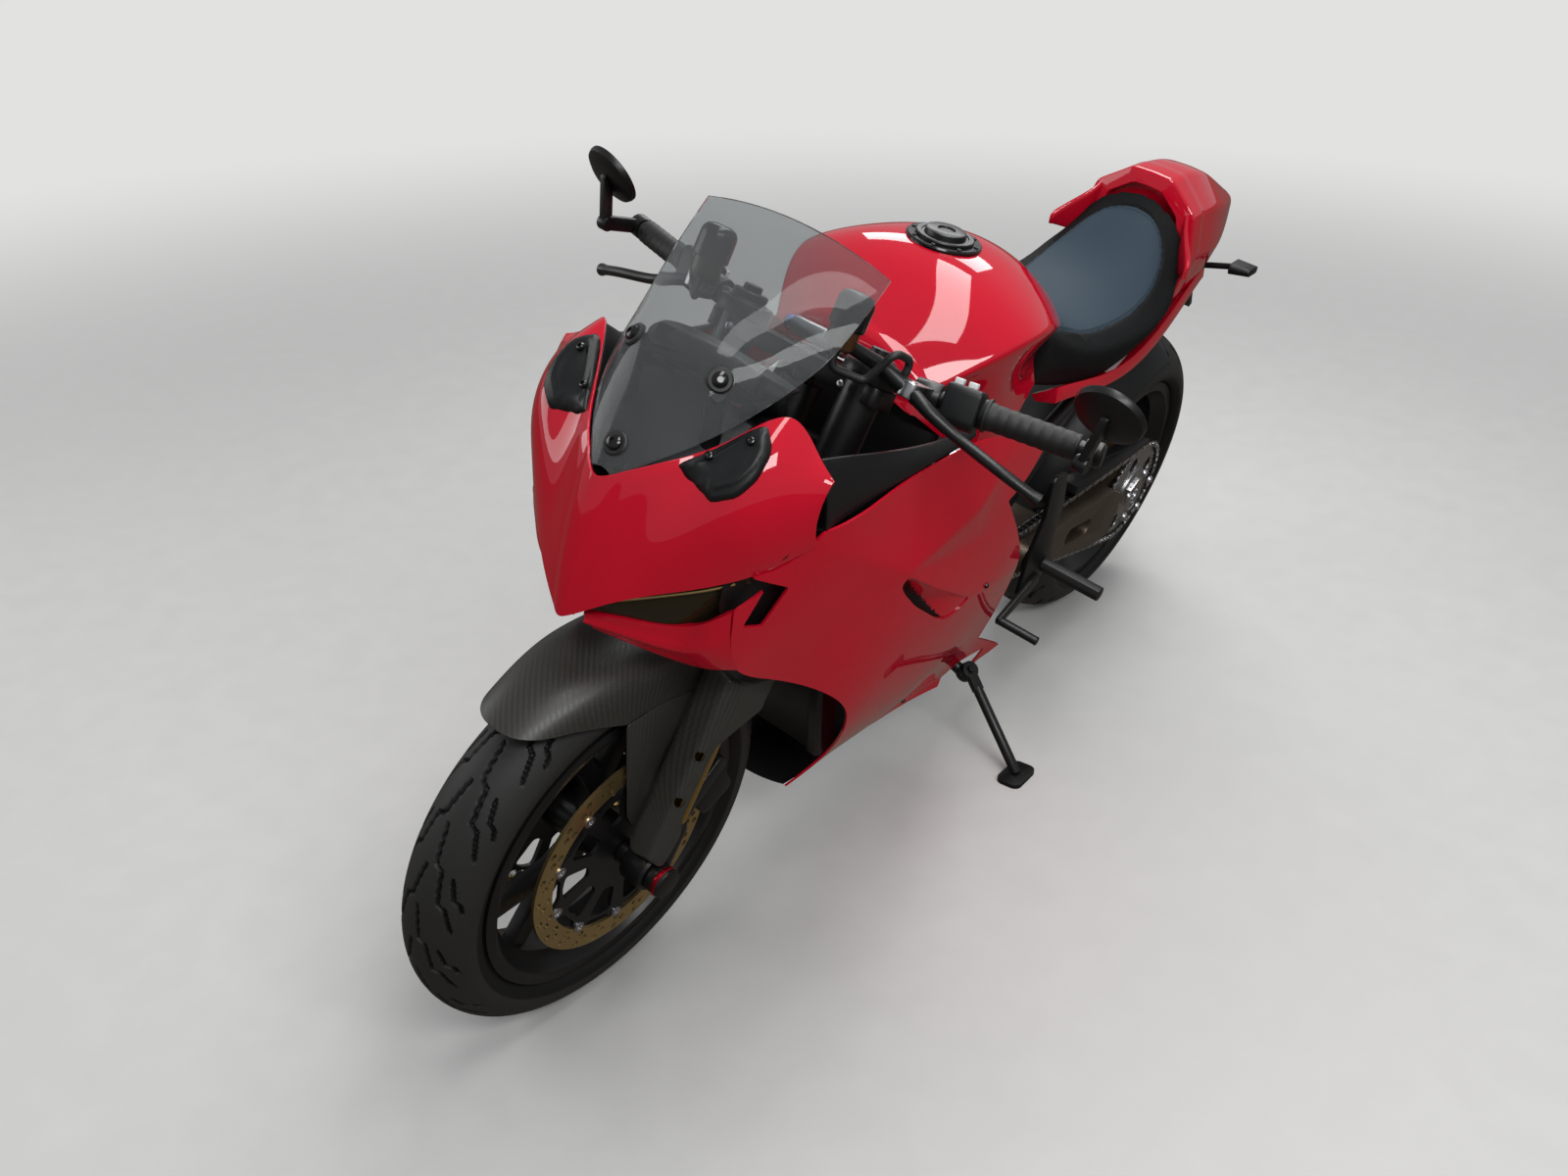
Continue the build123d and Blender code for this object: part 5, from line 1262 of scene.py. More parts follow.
class BIKE_OT_sides(bpy.types.Operator):
    """Shape the side panels with their folds and the scoop's ramp, whose shaded front is painted black"""

    bl_idname = "bike.sides"
    bl_label = "Side panels"

    def execute(self, context):
        sizes = context.scene.bike_sizes
        spacing = 9.0
        runs = []
        for run in SIDE_RUNS:
            span = np.linalg.norm(np.subtract(run[-1], run[0]))
            runs.append(smooth_line(run, max(2, int(span / len(run) / spacing))))
        outline = rounded(np.concatenate([run[:-1] for run in runs]), 4, 3)
        scoop, slot = rounded(SCOOP, 14, 5), rounded(SLOT, 4, 4)
        flat, faces = tiled(outline, spacing, [scoop])
        panel = np.stack([flat[:, 0], flank_depth(flat), flat[:, 1]], 1)
        ramp_flat, ramp_faces = tiled(scoop, 6.0)
        ramp = np.stack([ramp_flat[:, 0], flank_depth(ramp_flat) - self.sunk(ramp_flat), ramp_flat[:, 1]], 1)
        centres = ramp_flat[np.array(ramp_faces)].mean(1)
        # Painted shade: the front of the ramp, down under the scoop's upper rim, is black plastic instead of
        # lacquer, where shade falls in the hollow
        shade_painted_faces = [face for face, spot in zip(ramp_faces, centres) if spot[1] < 706 + 0.975 * (spot[0] - 426)]
        red = [face for face in ramp_faces if face not in shade_painted_faces]
        lip = self.wall(scoop, self.sunk(scoop))
        floor_flat, floor_faces = tiled(slot, 8.0)
        floor = np.stack([floor_flat[:, 0], flank_depth(floor_flat) - 16, floor_flat[:, 1]], 1)
        for way, side in ((1, "left"), (-1, "right")):
            mirror = (1, way, 1)
            keep = faces
            if way < 0:
                middle = flat[np.array(faces)].mean(1)
                keep = [face for face, m in zip(faces, middle) if not (m[0] < -84 and m[1] < 266)]
            add_piece(side + "_panel", (panel * mirror, keep), "lacquer", "chassis", [side + "_fairing"],
                      core=(300, 0, 500), sharp=60, thick=sizes.shell, rim=sizes.rim)
            slope = joined((ramp, red), lip)
            add_piece(side + "_scoop_ramp", (slope[0] * mirror, slope[1]), "lacquer", "chassis", sharp=50)
            # Black plastic: the painted shade on the ramp's front, with the dark bed of the slot
            dark = joined((ramp, shade_painted_faces), (floor, floor_faces))
            add_piece(side + "_scoop_pocket", (dark[0] * mirror, dark[1]), "abs_plastic", "chassis", sharp=50)
        return {"FINISHED"}

    def sunk(self, spots):
        """How deep the scoop lies at points (x, z): it slopes in from its rear tip and its upper edge."""
        tip, ahead, below = np.array((234.0, 586.0)), np.array((0.84, 0.544)), np.array((0.544, -0.84))
        along, aside = (spots - tip) @ ahead, (spots - tip) @ below
        return 2 + 30 * ease(along / 190) * (0.6 + 0.4 * ease(aside / 26))

    def wall(self, loop, depth):
        """The wall of an opening, from just under the panel down to its floor."""
        top = flank_depth(loop)
        rim = np.stack([loop[:, 0], top - 1.5, loop[:, 1]], 1)
        foot = np.stack([loop[:, 0], top - depth, loop[:, 1]], 1)
        return grid(np.stack([rim, foot]), loop=True)


def ring_rows(table, xs, hollow=0.0, blur=3, steps=(26, 70), close=False):
    """Cross-sections of a body between its stations: crown arc, hollowed sides and softened corners."""
    rings = []
    for _, top, wide, wide_z, base, base_z in table:
        crown = arc((wide, wide_z), (0, top), (-wide, wide_z), steps[1])
        fall = np.linspace(0, 1, steps[0])[1:]
        dent = hollow * np.sin(pi * fall) ** 1.2
        left = np.stack([wide + (base - wide) * fall - dent, wide_z + (base_z - wide_z) * fall], 1)
        right = left * (-1, 1)
        ring = np.concatenate([left[::-1], crown, right])
        if close:
            floor = np.linspace(right[-1], left[-1], 40)[1:-1]
            ring = np.concatenate([ring, floor])
        kernel = np.exp(-0.5 * (np.arange(-3 * blur, 3 * blur + 1) / blur) ** 2)
        kernel /= kernel.sum()
        for axis in (0, 1):
            ends = {"mode": "wrap"} if close else {"mode": "reflect", "reflect_type": "odd"}
            ring[:, axis] = np.convolve(np.pad(ring[:, axis], 3 * blur, **ends), kernel, mode="valid")
        rings.append(ring)
    return set_out(table, rings, xs, 0)


def with_end(rows, depth, first=False, steps=7):
    """Rows of a body closed at one end by a rounded cap."""
    edge = rows[0] if first else rows[-1]
    middle = edge.mean(0)
    caps = []
    for k in range(1, steps + 1):
        angle = pi / 2 * k / steps
        ring = middle + (edge - middle) * cos(angle)
        ring[:, 0] += depth * sin(angle)
        caps.append(ring)
    return np.concatenate([np.array(caps)[::-1], rows]) if first else np.concatenate([rows, np.array(caps)])


class BIKE_OT_tank(bpy.types.Operator):
    """Shape the tank with its knee hollows, and the filler cap with its ring of bolts"""

    bl_idname = "bike.tank"
    bl_label = "Tank"

    def execute(self, context):
        rows = ring_rows(TANK, np.linspace(TANK[0][0], TANK[-1][0], 110), hollow=20, blur=1, steps=(26, 90))
        rows = with_end(rows, 24)
        heart = rows[0].mean(0)
        rows = np.concatenate([[heart + (rows[0] - heart) * 0.9],
                               [rows[0] * (0, 1, 1) + (TANK[0][0] - 0.2, 0, 0)], rows])
        add_piece("tank_shell", grid(rows), "tank_lacquer", "chassis", ["fuel_tank"], core=(80, 0, 850),
                  sharp=60)
        along = unit((-0.06, 0, 1))
        at = np.array([138, 0, 1015]) + along * 6
        seat = turned([(0, 0), (0, 54), (6, 54), (8, 52), (8, 0)], at, along, 64)
        lid = turned([(7, 0), (7, 42), (11, 42), (12.5, 40.5), (12.5, 34), (11, 33), (11, 30), (18, 28.5),
                      (19.5, 26), (19.5, 13), (17, 12), (17, 0)], at, along, 64)
        add_piece("filler_ring", seat, "polished_nylon", "chassis", ["fuel_cap"])
        add_piece("filler_lid", lid, "powder_coat", "chassis")
        around = circle(47, 8, start=0.2)
        aside, up = square_to(along)
        spots = [(at + along * 7.8 + aside * a + up * b, along, aside) for a, b in around]
        repeated("filler_bolts", bolt_head(3.2), spots, "polished_nylon", "chassis")
        return {"FINISHED"}


class BIKE_OT_tail(bpy.types.Operator):
    """Shape the faceted tail cowl with its lip and arms"""

    bl_idname = "bike.tail"
    bl_label = "Tail"

    def execute(self, context):
        rings = []
        for _, top, wide, wide_z, base, base_z in TAIL:
            tall = top - wide_z
            half = [(0, top), (0.34 * wide, wide_z + 0.985 * tall), (0.84 * wide, wide_z + 0.62 * tall),
                    (wide, wide_z), (base, base_z)]
            ring = half + [(-y, z) for y, z in half[:0:-1]]
            rings.append(rounded(ring, 9, 5))
        xs = np.linspace(TAIL[0][0], TAIL[-1][0] - 9, 90)
        rows = set_out(TAIL, rings, xs, 0)
        heart = rows.mean(1, keepdims=True)
        swell = ease((xs + 650) / 30)[:, None, None]
        rows = heart + (rows - heart) * (1 + 0.025 * swell)
        lip = []
        for inset, ahead in ((0.6, 2), (2, 3.4), (4, 4), (25, 8.4), (27, 8.6), (28.5, 7.6), (29.5, 4),
                             (30, -10)):
            ring = heart[-1] + (rows[-1] - heart[-1]) * (1 - inset / 95)
            lip.append(ring + (ahead, 0, 0))
        lip.append(np.repeat(lip[-1].mean(0)[None], rows.shape[1], 0))
        rows = with_end(np.concatenate([rows, lip]), -10, first=True)
        add_piece("tail_shell", grid(rows, loop=True), "lacquer", "chassis", ["tail_cowl"], sharp=24)
        self.arms()
        return {"FINISHED"}

    def arms(self):
        """Tapered arms that run forward from the lip along the corners of the seat."""
        rows = []
        for share in np.linspace(0, 1, 24):
            x = TAIL[-1][0] - 6 + 66 * share
            y = 106 + 27 * ease(share * 1.1)
            low, high = 840 + 16 * share, 946 - 76 * share
            wide = 12 * (1 - share ** 2) + 1.5
            lean = 20 * (1 - share)
            ring = rounded([(y + wide, low), (y + wide + 1 - lean, (low + high) / 2 + 12), (y - lean, high),
                            (y - wide - lean / 2, high - 6), (y - wide, low)], 5, 4)
            rows.append(np.c_[np.full(len(ring), x), ring])
        rows = with_end(np.array(rows), 5)
        add_piece("tail_arms", both_sides(grid(rows, loop=True)), "lacquer", "chassis", sharp=30)


class BIKE_OT_screen(bpy.types.Operator):
    """Shape the clear screen, its black bolts, the dark bed it stands in and the hood of the dash"""

    bl_idname = "bike.screen"
    bl_label = "Screen"

    def execute(self, context):
        arcs = [arc((-w, low), (0, top), (w, low), 61) for _, top, w, low in SCREEN]
        xs = np.linspace(SCREEN[0][0], SCREEN[-1][0], 90)
        rows = set_out(SCREEN, arcs, xs, 0)
        add_piece("screen_shell", grid(rows), "acrylic", "chassis", ["windscreen"],
                  core=(600, 0, 900), sharp=60, thick=0.0035, rim=0.0008)
        washers, heads = [], []
        for spot, out in (
            ((699, 63, 1014), (0.62, 0.52, 0.6)), ((699, -63, 1014), (0.62, -0.52, 0.6)),
            ((786, 0, 934), (0.76, 0, 0.65)),
        ):
            at = np.array(spot, float)
            washers.append(turned([(-4, 0), (-4, 15), (1, 15), (3, 13), (3, 9)], at, out, 32))
            heads.append(turned([(3, 9.5), (6, 9), (8, 6.5), (8.5, 4), (6, 3.6), (6, 0)], at, out, 24))
        add_piece("screen_washers", joined(*washers), "grip_rubber", "chassis")
        add_piece("screen_bolts", joined(*heads), "polished_nylon", "chassis")
        ys = np.linspace(-150, 150, 91)
        edge = nose_sheet(ys)[:, -1]
        pull = np.abs(ys)[:, None] / 150
        drop = edge + (-4.0, 0.0, -9.0)
        deep = edge * (1, 0.72, 1) + (-34.0, 0.0, -26.0) - pull * (0.0, 0.0, 8.0)
        middle = deep * (1, 0.5, 1) + (-24, 0, -10)
        bed = grid(np.stack([edge - (2, 0, 3), drop, deep, middle], 1))
        xs = np.linspace(650, 790, 20)
        half = np.interp(xs, [640, 699, 750, 806], [108, 88, 58, 12])
        low = np.interp(xs, [640, 699, 750, 806], [965, 945, 925, 893])
        tray = grid(np.stack([np.stack([np.full(31, x), w * t, h + 22 * (1 - t ** 2) - 16], 1)
                              for x, w, h in zip(xs, half, low) for t in [np.linspace(-1, 1, 31)]]))
        add_piece("dash_tray", tray, "abs_plastic", "chassis", core=(700, 0, 700), sharp=60, thick=0.002)
        sweep = np.linspace(-1, 1, 41)
        brow = [np.stack([660 - 34 * sweep ** 2 - back, 104 * sweep, 962 + 30 * (1 - sweep ** 2) + rise], 1)
                for back, rise in ((0, -10), (-3, 14), (2, 22), (10, 25), (30, 24))]
        add_piece("dash_hood", grid(np.array(brow)), "abs_plastic", "chassis", core=(700, 0, 800), sharp=60,
                  thick=0.003)
        add_piece("screen_bed", bed, "abs_plastic", "chassis", core=(700, 0, 800), sharp=60, thick=0.002)
        return {"FINISHED"}


class BIKE_OT_lamps(bpy.types.Operator):
    """Smoked lamp lenses with a bright strip along their edge"""

    bl_idname = "bike.lamps"
    bl_label = "Headlamps"

    def execute(self, context):
        arcs = [arc(*points, 20) for _, *points in LENS]
        ys = np.linspace(LENS[0][0], LENS[-1][0], 60)
        rows = set_out(LENS, arcs, ys, 1)
        for way, name in ((1, "lens_left"), (-1, "lens_right")):
            add_piece(name, grid(rows * (1, way, 1)), "tinted_polycarbonate", "chassis", ["headlight_lenses"],
                      core=(640, 0, 780), sharp=60, thick=0.003)
        strip = tube(rows[2:-4, 2] + (2.2, 0.8, 0), 2.4, 10)
        add_piece("lamp_strips", both_sides(strip), "browned_steel", "chassis")
        return {"FINISHED"}


# Seat: depth and half width of the pressed seam, spacing of the stitches and how far they lie from it
SEAM_DEPTH, SEAM_HALF = 2.6, 4.5
STITCH, STITCH_ASIDE = 6.0, 4.6
# Stuffing, in metres: the cloth's cell and how far it may swell
CLOTH_CELL, SWELL = 0.006, 0.007
CLOTH_FRAMES = 20


def seat_level(xs, column):
    """A column of the seat's table, read at places along X."""
    return np.interp(xs, [row[0] for row in SEAT], [row[column] for row in SEAT])


class BIKE_OT_seat(bpy.types.Operator):
    """Stuff the seat, press its seams in and sew them"""

    bl_idname = "bike.seat"
    bl_label = "Seat"

    def execute(self, context):
        rows = ring_rows(SEAT, np.linspace(SEAT[0][0] + 3, SEAT[-1][0] - 1, 80), blur=3, close=True)
        heart = rows.mean(1, keepdims=True)
        rows = heart + (rows - heart) * 0.985
        full = ease((rows[..., 0] + 575) / 70) * ease((-70 - rows[..., 0]) / 160)
        high = ease((rows[..., 2] - seat_level(rows[..., 0], BASE_Z)) / 45)
        rows[..., 1] *= 1 + 0.11 * full * high
        rows = with_end(with_end(rows, -2.0, first=True), 0.5)
        mesh = mesh_of("seat_cushion", grid(rows, loop=True), sharp=180)
        mesh = self.stuffed(mesh)
        upright = self.upright(mesh)
        half = smooth_line(np.array(SEAT_SEAM, float), 6)
        seam = np.concatenate([half, half[-2::-1] * (1, -1)])
        far, _ = off_lines(upright[:, :2], seam)
        on_top = ease((upright[:, 2] - seat_level(upright[:, 0], WIDE_Z) + 22) / 10)
        share = inside(upright[:, :2], seam) * on_top
        normals = np.array([v.normal for v in mesh.vertices])
        groove = SEAM_DEPTH * ease((SEAM_HALF - far) / SEAM_HALF) * on_top
        shifted = np.array([v.co for v in mesh.vertices]) - normals * groove[:, None] / 1000
        mesh.vertices.foreach_set("co", shifted.astype(np.float32).ravel())
        mask = mesh.attributes.new("top_panel", "FLOAT", "POINT")
        mask.data.foreach_set("value", share.astype(np.float32))
        mesh.shade_smooth()
        cushion = hand_over("seat_cushion", mesh, "coated_cloth", "chassis", ["rider_seat"])
        self.stitches(mesh, seam)
        return {"FINISHED"}

    def upright(self, mesh):
        """The mesh's points in upright millimetres."""
        return (np.array([v.co for v in mesh.vertices]) * 1000 + MIDDLE) @ LEANED

    def stuffed(self, mesh):
        """Swell the cushion as cloth over foam, with a cap on how far a point may move."""
        scene = bpy.context.scene
        holder = bpy.data.objects.new("stuffing", mesh)
        scene.collection.objects.link(holder)
        voxels = holder.modifiers.new("voxels", "REMESH")
        voxels.mode = "VOXEL"
        voxels.voxel_size = CLOTH_CELL
        even = self.settled(holder)
        holder.modifiers.clear()
        holder.data = even
        start = np.array([v.co for v in even.vertices])
        cloth = holder.modifiers.new("cloth", "CLOTH")
        cloth.settings.use_pressure = True
        cloth.settings.uniform_pressure_force = 4
        cloth.settings.effector_weights.gravity = 0
        for step in range(1, CLOTH_FRAMES + 1):
            scene.frame_set(step)
        move = np.array([v.co for v in self.settled(holder).vertices]) - start
        move *= np.minimum(1, SWELL / np.maximum(np.linalg.norm(move, axis=1), 1e-9))[:, None]
        upright = self.upright(even)
        height = upright[:, 2] - seat_level(upright[:, 0], BASE_Z)
        holder.modifiers.clear()
        swollen = start + move * ease(height / 30)[:, None]
        even.vertices.foreach_set("co", swollen.astype(np.float32).ravel())
        soft = holder.modifiers.new("soft", "SUBSURF")
        soft.levels = soft.render_levels = 1
        result = self.settled(holder)
        result.name = "seat_cushion"
        bpy.data.objects.remove(holder)
        scene.frame_set(1)
        return result

    def settled(self, holder):
        """The mesh that an object's modifiers make."""
        graph = bpy.context.evaluated_depsgraph_get()
        return bpy.data.meshes.new_from_object(holder.evaluated_get(graph), depsgraph=graph)

    def stitches(self, mesh, seam):
        """Thread on both sides of the seam, set on the cushion's surface."""
        points = self.upright(mesh)
        skin = BVHTree.FromPolygons([Vector(p) for p in points],
                                    [tuple(face.vertices) for face in mesh.polygons])
        reach = reach_along(seam)
        spots = []
        for distance in np.arange(STITCH, reach[-1], STITCH):
            at = np.array([np.interp(distance, reach, seam[:, k]) for k in (0, 1)])
            ahead = np.array([np.interp(distance + 1, reach, seam[:, k]) for k in (0, 1)]) - at
            side = np.array([-ahead[1], ahead[0]]) / max(np.linalg.norm(ahead), 1e-6) * STITCH_ASIDE
            spot = at + side
            hit, normal, _, _ = skin.ray_cast(Vector((spot[0], spot[1], 1200)), Vector((0, 0, -1)))
            if hit is not None:
                spots.append((np.array(hit), np.array(normal), (ahead[0], ahead[1], 0)))
        thread = turned([(-1.9, 0), (-1.7, 0.45), (0, 0.75), (1.7, 0.45), (1.9, 0)],
                        (0, 0, 0.2), (1, 0, 0), 6)
        repeated("seat_stitches", thread, spots, "grip_rubber", "chassis")


# Fender around the axle: radius of its crown, shoulder and skirt, the degrees where it starts and ends,
# and the share of its section that lies above the shoulder
HOOD_R, SHOULDER_R, SKIRT_R = 338.0, 292.0, 244.0
HOOD_START, HOOD_END = 56.5, 148.0
SHOULDER = 0.72


class BIKE_OT_fender(bpy.types.Operator):
    """Shape the front fender with its bill and the covers down the fork legs"""

    bl_idname = "bike.fender"
    bl_label = "Front fender"

    def execute(self, context):
        across = np.linspace(-1, 1, 81)
        along = np.linspace(0, 1, 70)
        rows = []
        for t in along:
            row = []
            for w in across:
                start = HOOD_START + 27 * abs(w) ** 2.4
                angle = radians(start + (HOOD_END - start) * t)
                half = 58 + 13 * ease((np.degrees(angle) - 54) / 30)
                if abs(w) > SHOULDER:
                    share = (abs(w) - SHOULDER) / (1 - SHOULDER)
                    r, y = SHOULDER_R - (SHOULDER_R - SKIRT_R) * share, half - 2 * share
                else:
                    bow = pi / 2 * abs(w) / SHOULDER
                    r, y = SHOULDER_R + (HOOD_R - SHOULDER_R) * cos(bow) ** 0.8, half * sin(bow)
                row.append((r * cos(angle), y * (1 if w > 0 else -1), r * sin(angle)))
            rows.append(row)
        hood = grid(np.array(rows) + FRONT_AXLE)
        piece = add_piece("fender_hood", hood, "carbon_twill", "steering", ["front_fender"], True, 60,
                          FRONT_AXLE, thick=0.0025, rim=0.0008)
        self.lay_cloth(piece)
        # Leg covers: a bent sheet, drawn flat as run along the bend and height above the axle
        foot = (FRONT_AXLE - STEER_FOOT) @ STEER_UP
        bend = rounded([(66, 70.5), (68, 126), (52, 136.5), (-30, 139)], 22, 7)[3:-3]
        run = reach_along(bend)
        full = run[-1]
        outline = rounded([(0, 40), (12, 22), (full * 0.50, 22), (full * 0.56, 70), (full * 0.47, 96),
                           (full * 0.48, 206), (full * 0.66, 228), (full, 262), (full, 306), (0, 306)], 9, 5)
        flat, faces = tiled(outline, 6.0, [circle(7.5, 20, (full * 0.36, height)) for height in (118, 188)])
        spread = np.stack([np.interp(flat[:, 0], run, bend[:, k]) for k in (0, 1)], 1)
        cover = np.array([steer_point(f, y, foot + s) for (f, y), s in zip(spread, flat[:, 1])])
        gusset = rounded([(46, 40), (73, 60), (165, 210), (112, 236), (46, 256)], 8, 4)
        web = prism(gusset, steer_point(0, 68.5, foot), STEER_AHEAD, STEER_UP, -2.6, 0.8)
        webs = steered_pair("fender_webs", web, "carbon_twill")
        self.lay_cloth(webs)
        for way, name in ((1, "left_leg_cover"), (-1, "right_leg_cover")):
            leg = add_piece(name, (cover * (1, way, 1), faces), "carbon_twill", "steering", (), True, 50,
                            steer_point(20, way * 90, foot + 160), thick=0.0028, rim=0.0007)
            self.lay_cloth(leg)
        return {"FINISHED"}

    def lay_cloth(self, piece):
        """Lay the cloth on a piece in metres: along the wheel's turn one way and across it the other."""
        mesh = piece.data
        layer = mesh.uv_layers.new(name="cloth")
        for loop in mesh.loops:
            point = np.array(mesh.vertices[loop.vertex_index].co) * 1000 + MIDDLE
            spot = STEERED.T @ (LEANED.T @ point - STEER_FOOT) + STEER_FOOT - FRONT_AXLE
            layer.data[loop.index].uv = (0.33 * atan2(spot[2], spot[0]), spot[1] / 1000)


BAR_IN, BAR_OUT = steer_point(16, 134, 1036), steer_point(-47, 367, 1061)
BAR_WAY = unit(BAR_OUT - BAR_IN)
FORK_F, FORK_Y = 30.0, 105.0
AXLE_S = (FRONT_AXLE - STEER_FOOT) @ STEER_UP


def along_bar(distance):
    """A point of the left bar, so far from its inner end."""
    return BAR_IN + BAR_WAY * distance


class BIKE_OT_fork(bpy.types.Operator):
    """Turn the fork legs with their caps, and shape the feet that hold the axle"""

    bl_idname = "bike.fork"
    bl_label = "Fork"

    def execute(self, context):
        base = steer_point(FORK_F, FORK_Y, 0)
        outer = turned([(556, 0), (556, 25.5), (558, 27), (572, 28.6), (600, 28.6), (606, 27), (1046, 27),
                        (1047, 26), (1047, 0)], base, STEER_UP, 48)
        cap = turned([(1046, 0), (1046, 24), (1056, 24), (1058, 22), (1058, 13), (1066, 12.5), (1067, 11),
                      (1067, 0)], base, STEER_UP, 36)
        gold = turned([(AXLE_S + 70, 0), (AXLE_S + 70, 21.5), (600, 21.5), (600, 0)], base, STEER_UP, 48)
        foot = turned([(AXLE_S - 6, 0), (AXLE_S - 6, 18), (AXLE_S + 6, 27), (AXLE_S + 70, 27.5),
                       (AXLE_S + 76, 25), (AXLE_S + 78, 22)], base, STEER_UP, 36)
        axle = np.array([FRONT_AXLE[0], 0, FRONT_AXLE[2]])
        boss = turned([(84, 0), (84, 26), (88, 28), (120, 28), (124, 25), (124, 0)], axle, LEFT, 40)
        lug = flat_bar(steer_point(8, 104, AXLE_S + 76), steer_point(-34, 100, AXLE_S + 150), 26, 16, LEFT)
        steered_pair("fork_outer_tubes", outer, "powder_coat", ["fork_outers"])
        steered_pair("fork_caps", cap, "powder_coat")
        steered_pair("fork_inner_tubes", gold, "titanium_nitride", ["fork_inners"])
        steered_pair("fork_feet", joined(foot, boss, lug), "powder_coat")
        tip = axle + LEFT * 126
        end = turned([(0, 0), (0, 17), (4, 19), (12, 19), (13, 17), (13, 0)], tip, LEFT, 36)
        ring = turned([(12, 0), (12, 22), (14, 23), (18, 23), (19.5, 21.5), (19.5, 0)], tip, LEFT, 36)
        nose = turned([(19, 0), (19, 18), (21, 18), (22.5, 16), (22.5, 9), (20.5, 8), (20.5, 0)],
                      tip, LEFT, 36)
        steered_pair("axle_sliders", joined(end, nose), "polished_nylon")
        steered_pair("slider_rings", ring, "red_anodising")
        return {"FINISHED"}


class BIKE_OT_controls(bpy.types.Operator):
    """Bars with grips, switches, levers, cups and bar-end mirrors"""

    bl_idname = "bike.controls"
    bl_label = "Controls"

    def execute(self, context):
        bar = tube([BAR_IN - BAR_WAY * 4, BAR_OUT], 11, 24)
        ring = turned([(1024.3, 27.4), (1024.3, 36), (1026, 37), (1042, 37), (1044.3, 35.5), (1044.3, 27.4),
                       (1024.3, 27.4)], steer_point(FORK_F, FORK_Y, 0), STEER_UP, 40)
        steered_pair("bar_tubes", joined(bar, ring), "powder_coat", ["handlebars"])
        # Grip: flange at the switch, then a barrel with wavy moulding
        places = np.linspace(4, 116, 85)
        waves = [(d, 16.2 + 0.8 * abs(sin(d * pi / 14)) + 0.8 * ease((20 - d) / 16)) for d in places]
        grip = turned([(0, 11), (0, 20), (1, 21), (4, 21), *waves, (118, 16), (118, 11)],
                      along_bar(118), BAR_WAY, 36)
        steered_pair("grip_sleeves", grip, "grip_rubber", ["grips"])
        self.switches()
        self.levers()
        self.cups()
        self.mirrors()
        at = steer_point(-20, 0, 1042)
        damper = turned([(-58, 0), (-58, 11), (-55, 12.5), (30, 12.5), (33, 11), (33, 5), (92, 5), (92, 9),
                         (102, 9), (102, 0)], at, LEFT, 32)
        add_piece("damper_body", damper, "machined_steel", "steering", ["steering_damper"], True)
        knob = turned([(-70, 0), (-70, 8), (-68, 9), (-59, 9), (-58, 8), (-58, 0)], at, LEFT, 24)
        add_piece("damper_knob", knob, "blue_anodising", "steering", (), True)
        return {"FINISHED"}

    def switches(self):
        """Switch housings with buttons behind and on top."""
        across = unit(STEER_AHEAD - BAR_WAY * (STEER_AHEAD @ BAR_WAY))
        up = np.cross(across, BAR_WAY)
        body = prism(rounded([(-23, 24), (25, 26), (25, -22), (8, -28), (-24, -24)], 10, 5), along_bar(66),
                     across, up, -46, 4)
        collar = turned([(0, 0), (0, 18), (2, 19), (7, 19), (8, 17)], along_bar(112), BAR_WAY, 30)
        toggles, pale = [], []
        # Behind: distance along the bar, height above it, half height, half width, kind, depth
        for d, h, tall, wide, kind, out in (
            (72, 14, 8, 5, pale, 7), (92, 14, 7, 6, toggles, 6),
            (80, -6, 10, 4, toggles, 6), (98, -8, 4.5, 4.5, pale, 7),
        ):
            spot = along_bar(d) + up * h - across * 20
            pad = rounded([(-tall, -wide), (tall, -wide), (tall, wide), (-tall, wide)], 3, 4)
            kind.append(prism(pad, spot, up, BAR_WAY, out, 1.5))
        for d in (74, 92):
            spot = along_bar(d) + up * 22 - across * 6
            pad = rounded([(-7, -6), (7, -6), (7, 6), (-7, 6)], 2.5, 4)
            pale.append(prism(pad, spot, across, BAR_WAY, 10, 1.5))
        steered_pair("switch_bodies", joined(body, collar), "abs_plastic", ["switchgear"])
        steered_pair("switch_toggles", joined(*toggles), "polished_nylon")
        steered_pair("switch_buttons", joined(*pale), "grey_abs")

    def levers(self):
        """Bent levers with their clamps, cylinders and pins."""
        pivot = along_bar(44) + STEER_AHEAD * 52
        knee = along_bar(112) + STEER_AHEAD * 56 - STEER_UP * 30
        tip = steer_point(9, 366, 990)
        path = smooth_line([pivot, pivot * 0.5 + knee * 0.5 + STEER_AHEAD * 7, knee,
                            knee * 0.45 + tip * 0.55 + STEER_AHEAD * 5, tip], 9)
        share = np.linspace(0, 1, len(path))
        radii = 9 - 2 * ease(share / 0.5) + 2.0 * np.exp(-((share - 1) / 0.035) ** 2)
        blade = tube(path, radii, 16)
        clamp = turned([(0, 11), (0, 17), (1.5, 18), (32.5, 18), (34, 17), (34, 11), (0, 11)],
                       along_bar(26), BAR_WAY, 32)
        perch = flat_bar(along_bar(43) + STEER_AHEAD * 12, pivot, 24, 20, STEER_UP)
        port = steer_point(128, 112, 1062)
        cylinder = tube([along_bar(40) + STEER_AHEAD * 50, along_bar(40) * 0.45 + port * 0.55, port],
                        [12, 10, 8], 20)
        cap = turned([(-9, 0), (-9, 6), (-7, 7), (9, 7), (11, 6), (11, 0)], pivot, STEER_UP, 24)
        steered_pair("lever_blades", blade, "powder_coat", ["lever_controls"])
        steered_pair("lever_perches", joined(clamp, cylinder), "powder_coat")
        steered_pair("lever_brackets", perch, "machined_steel")
        steered_pair("lever_pins", cap, "machined_steel")

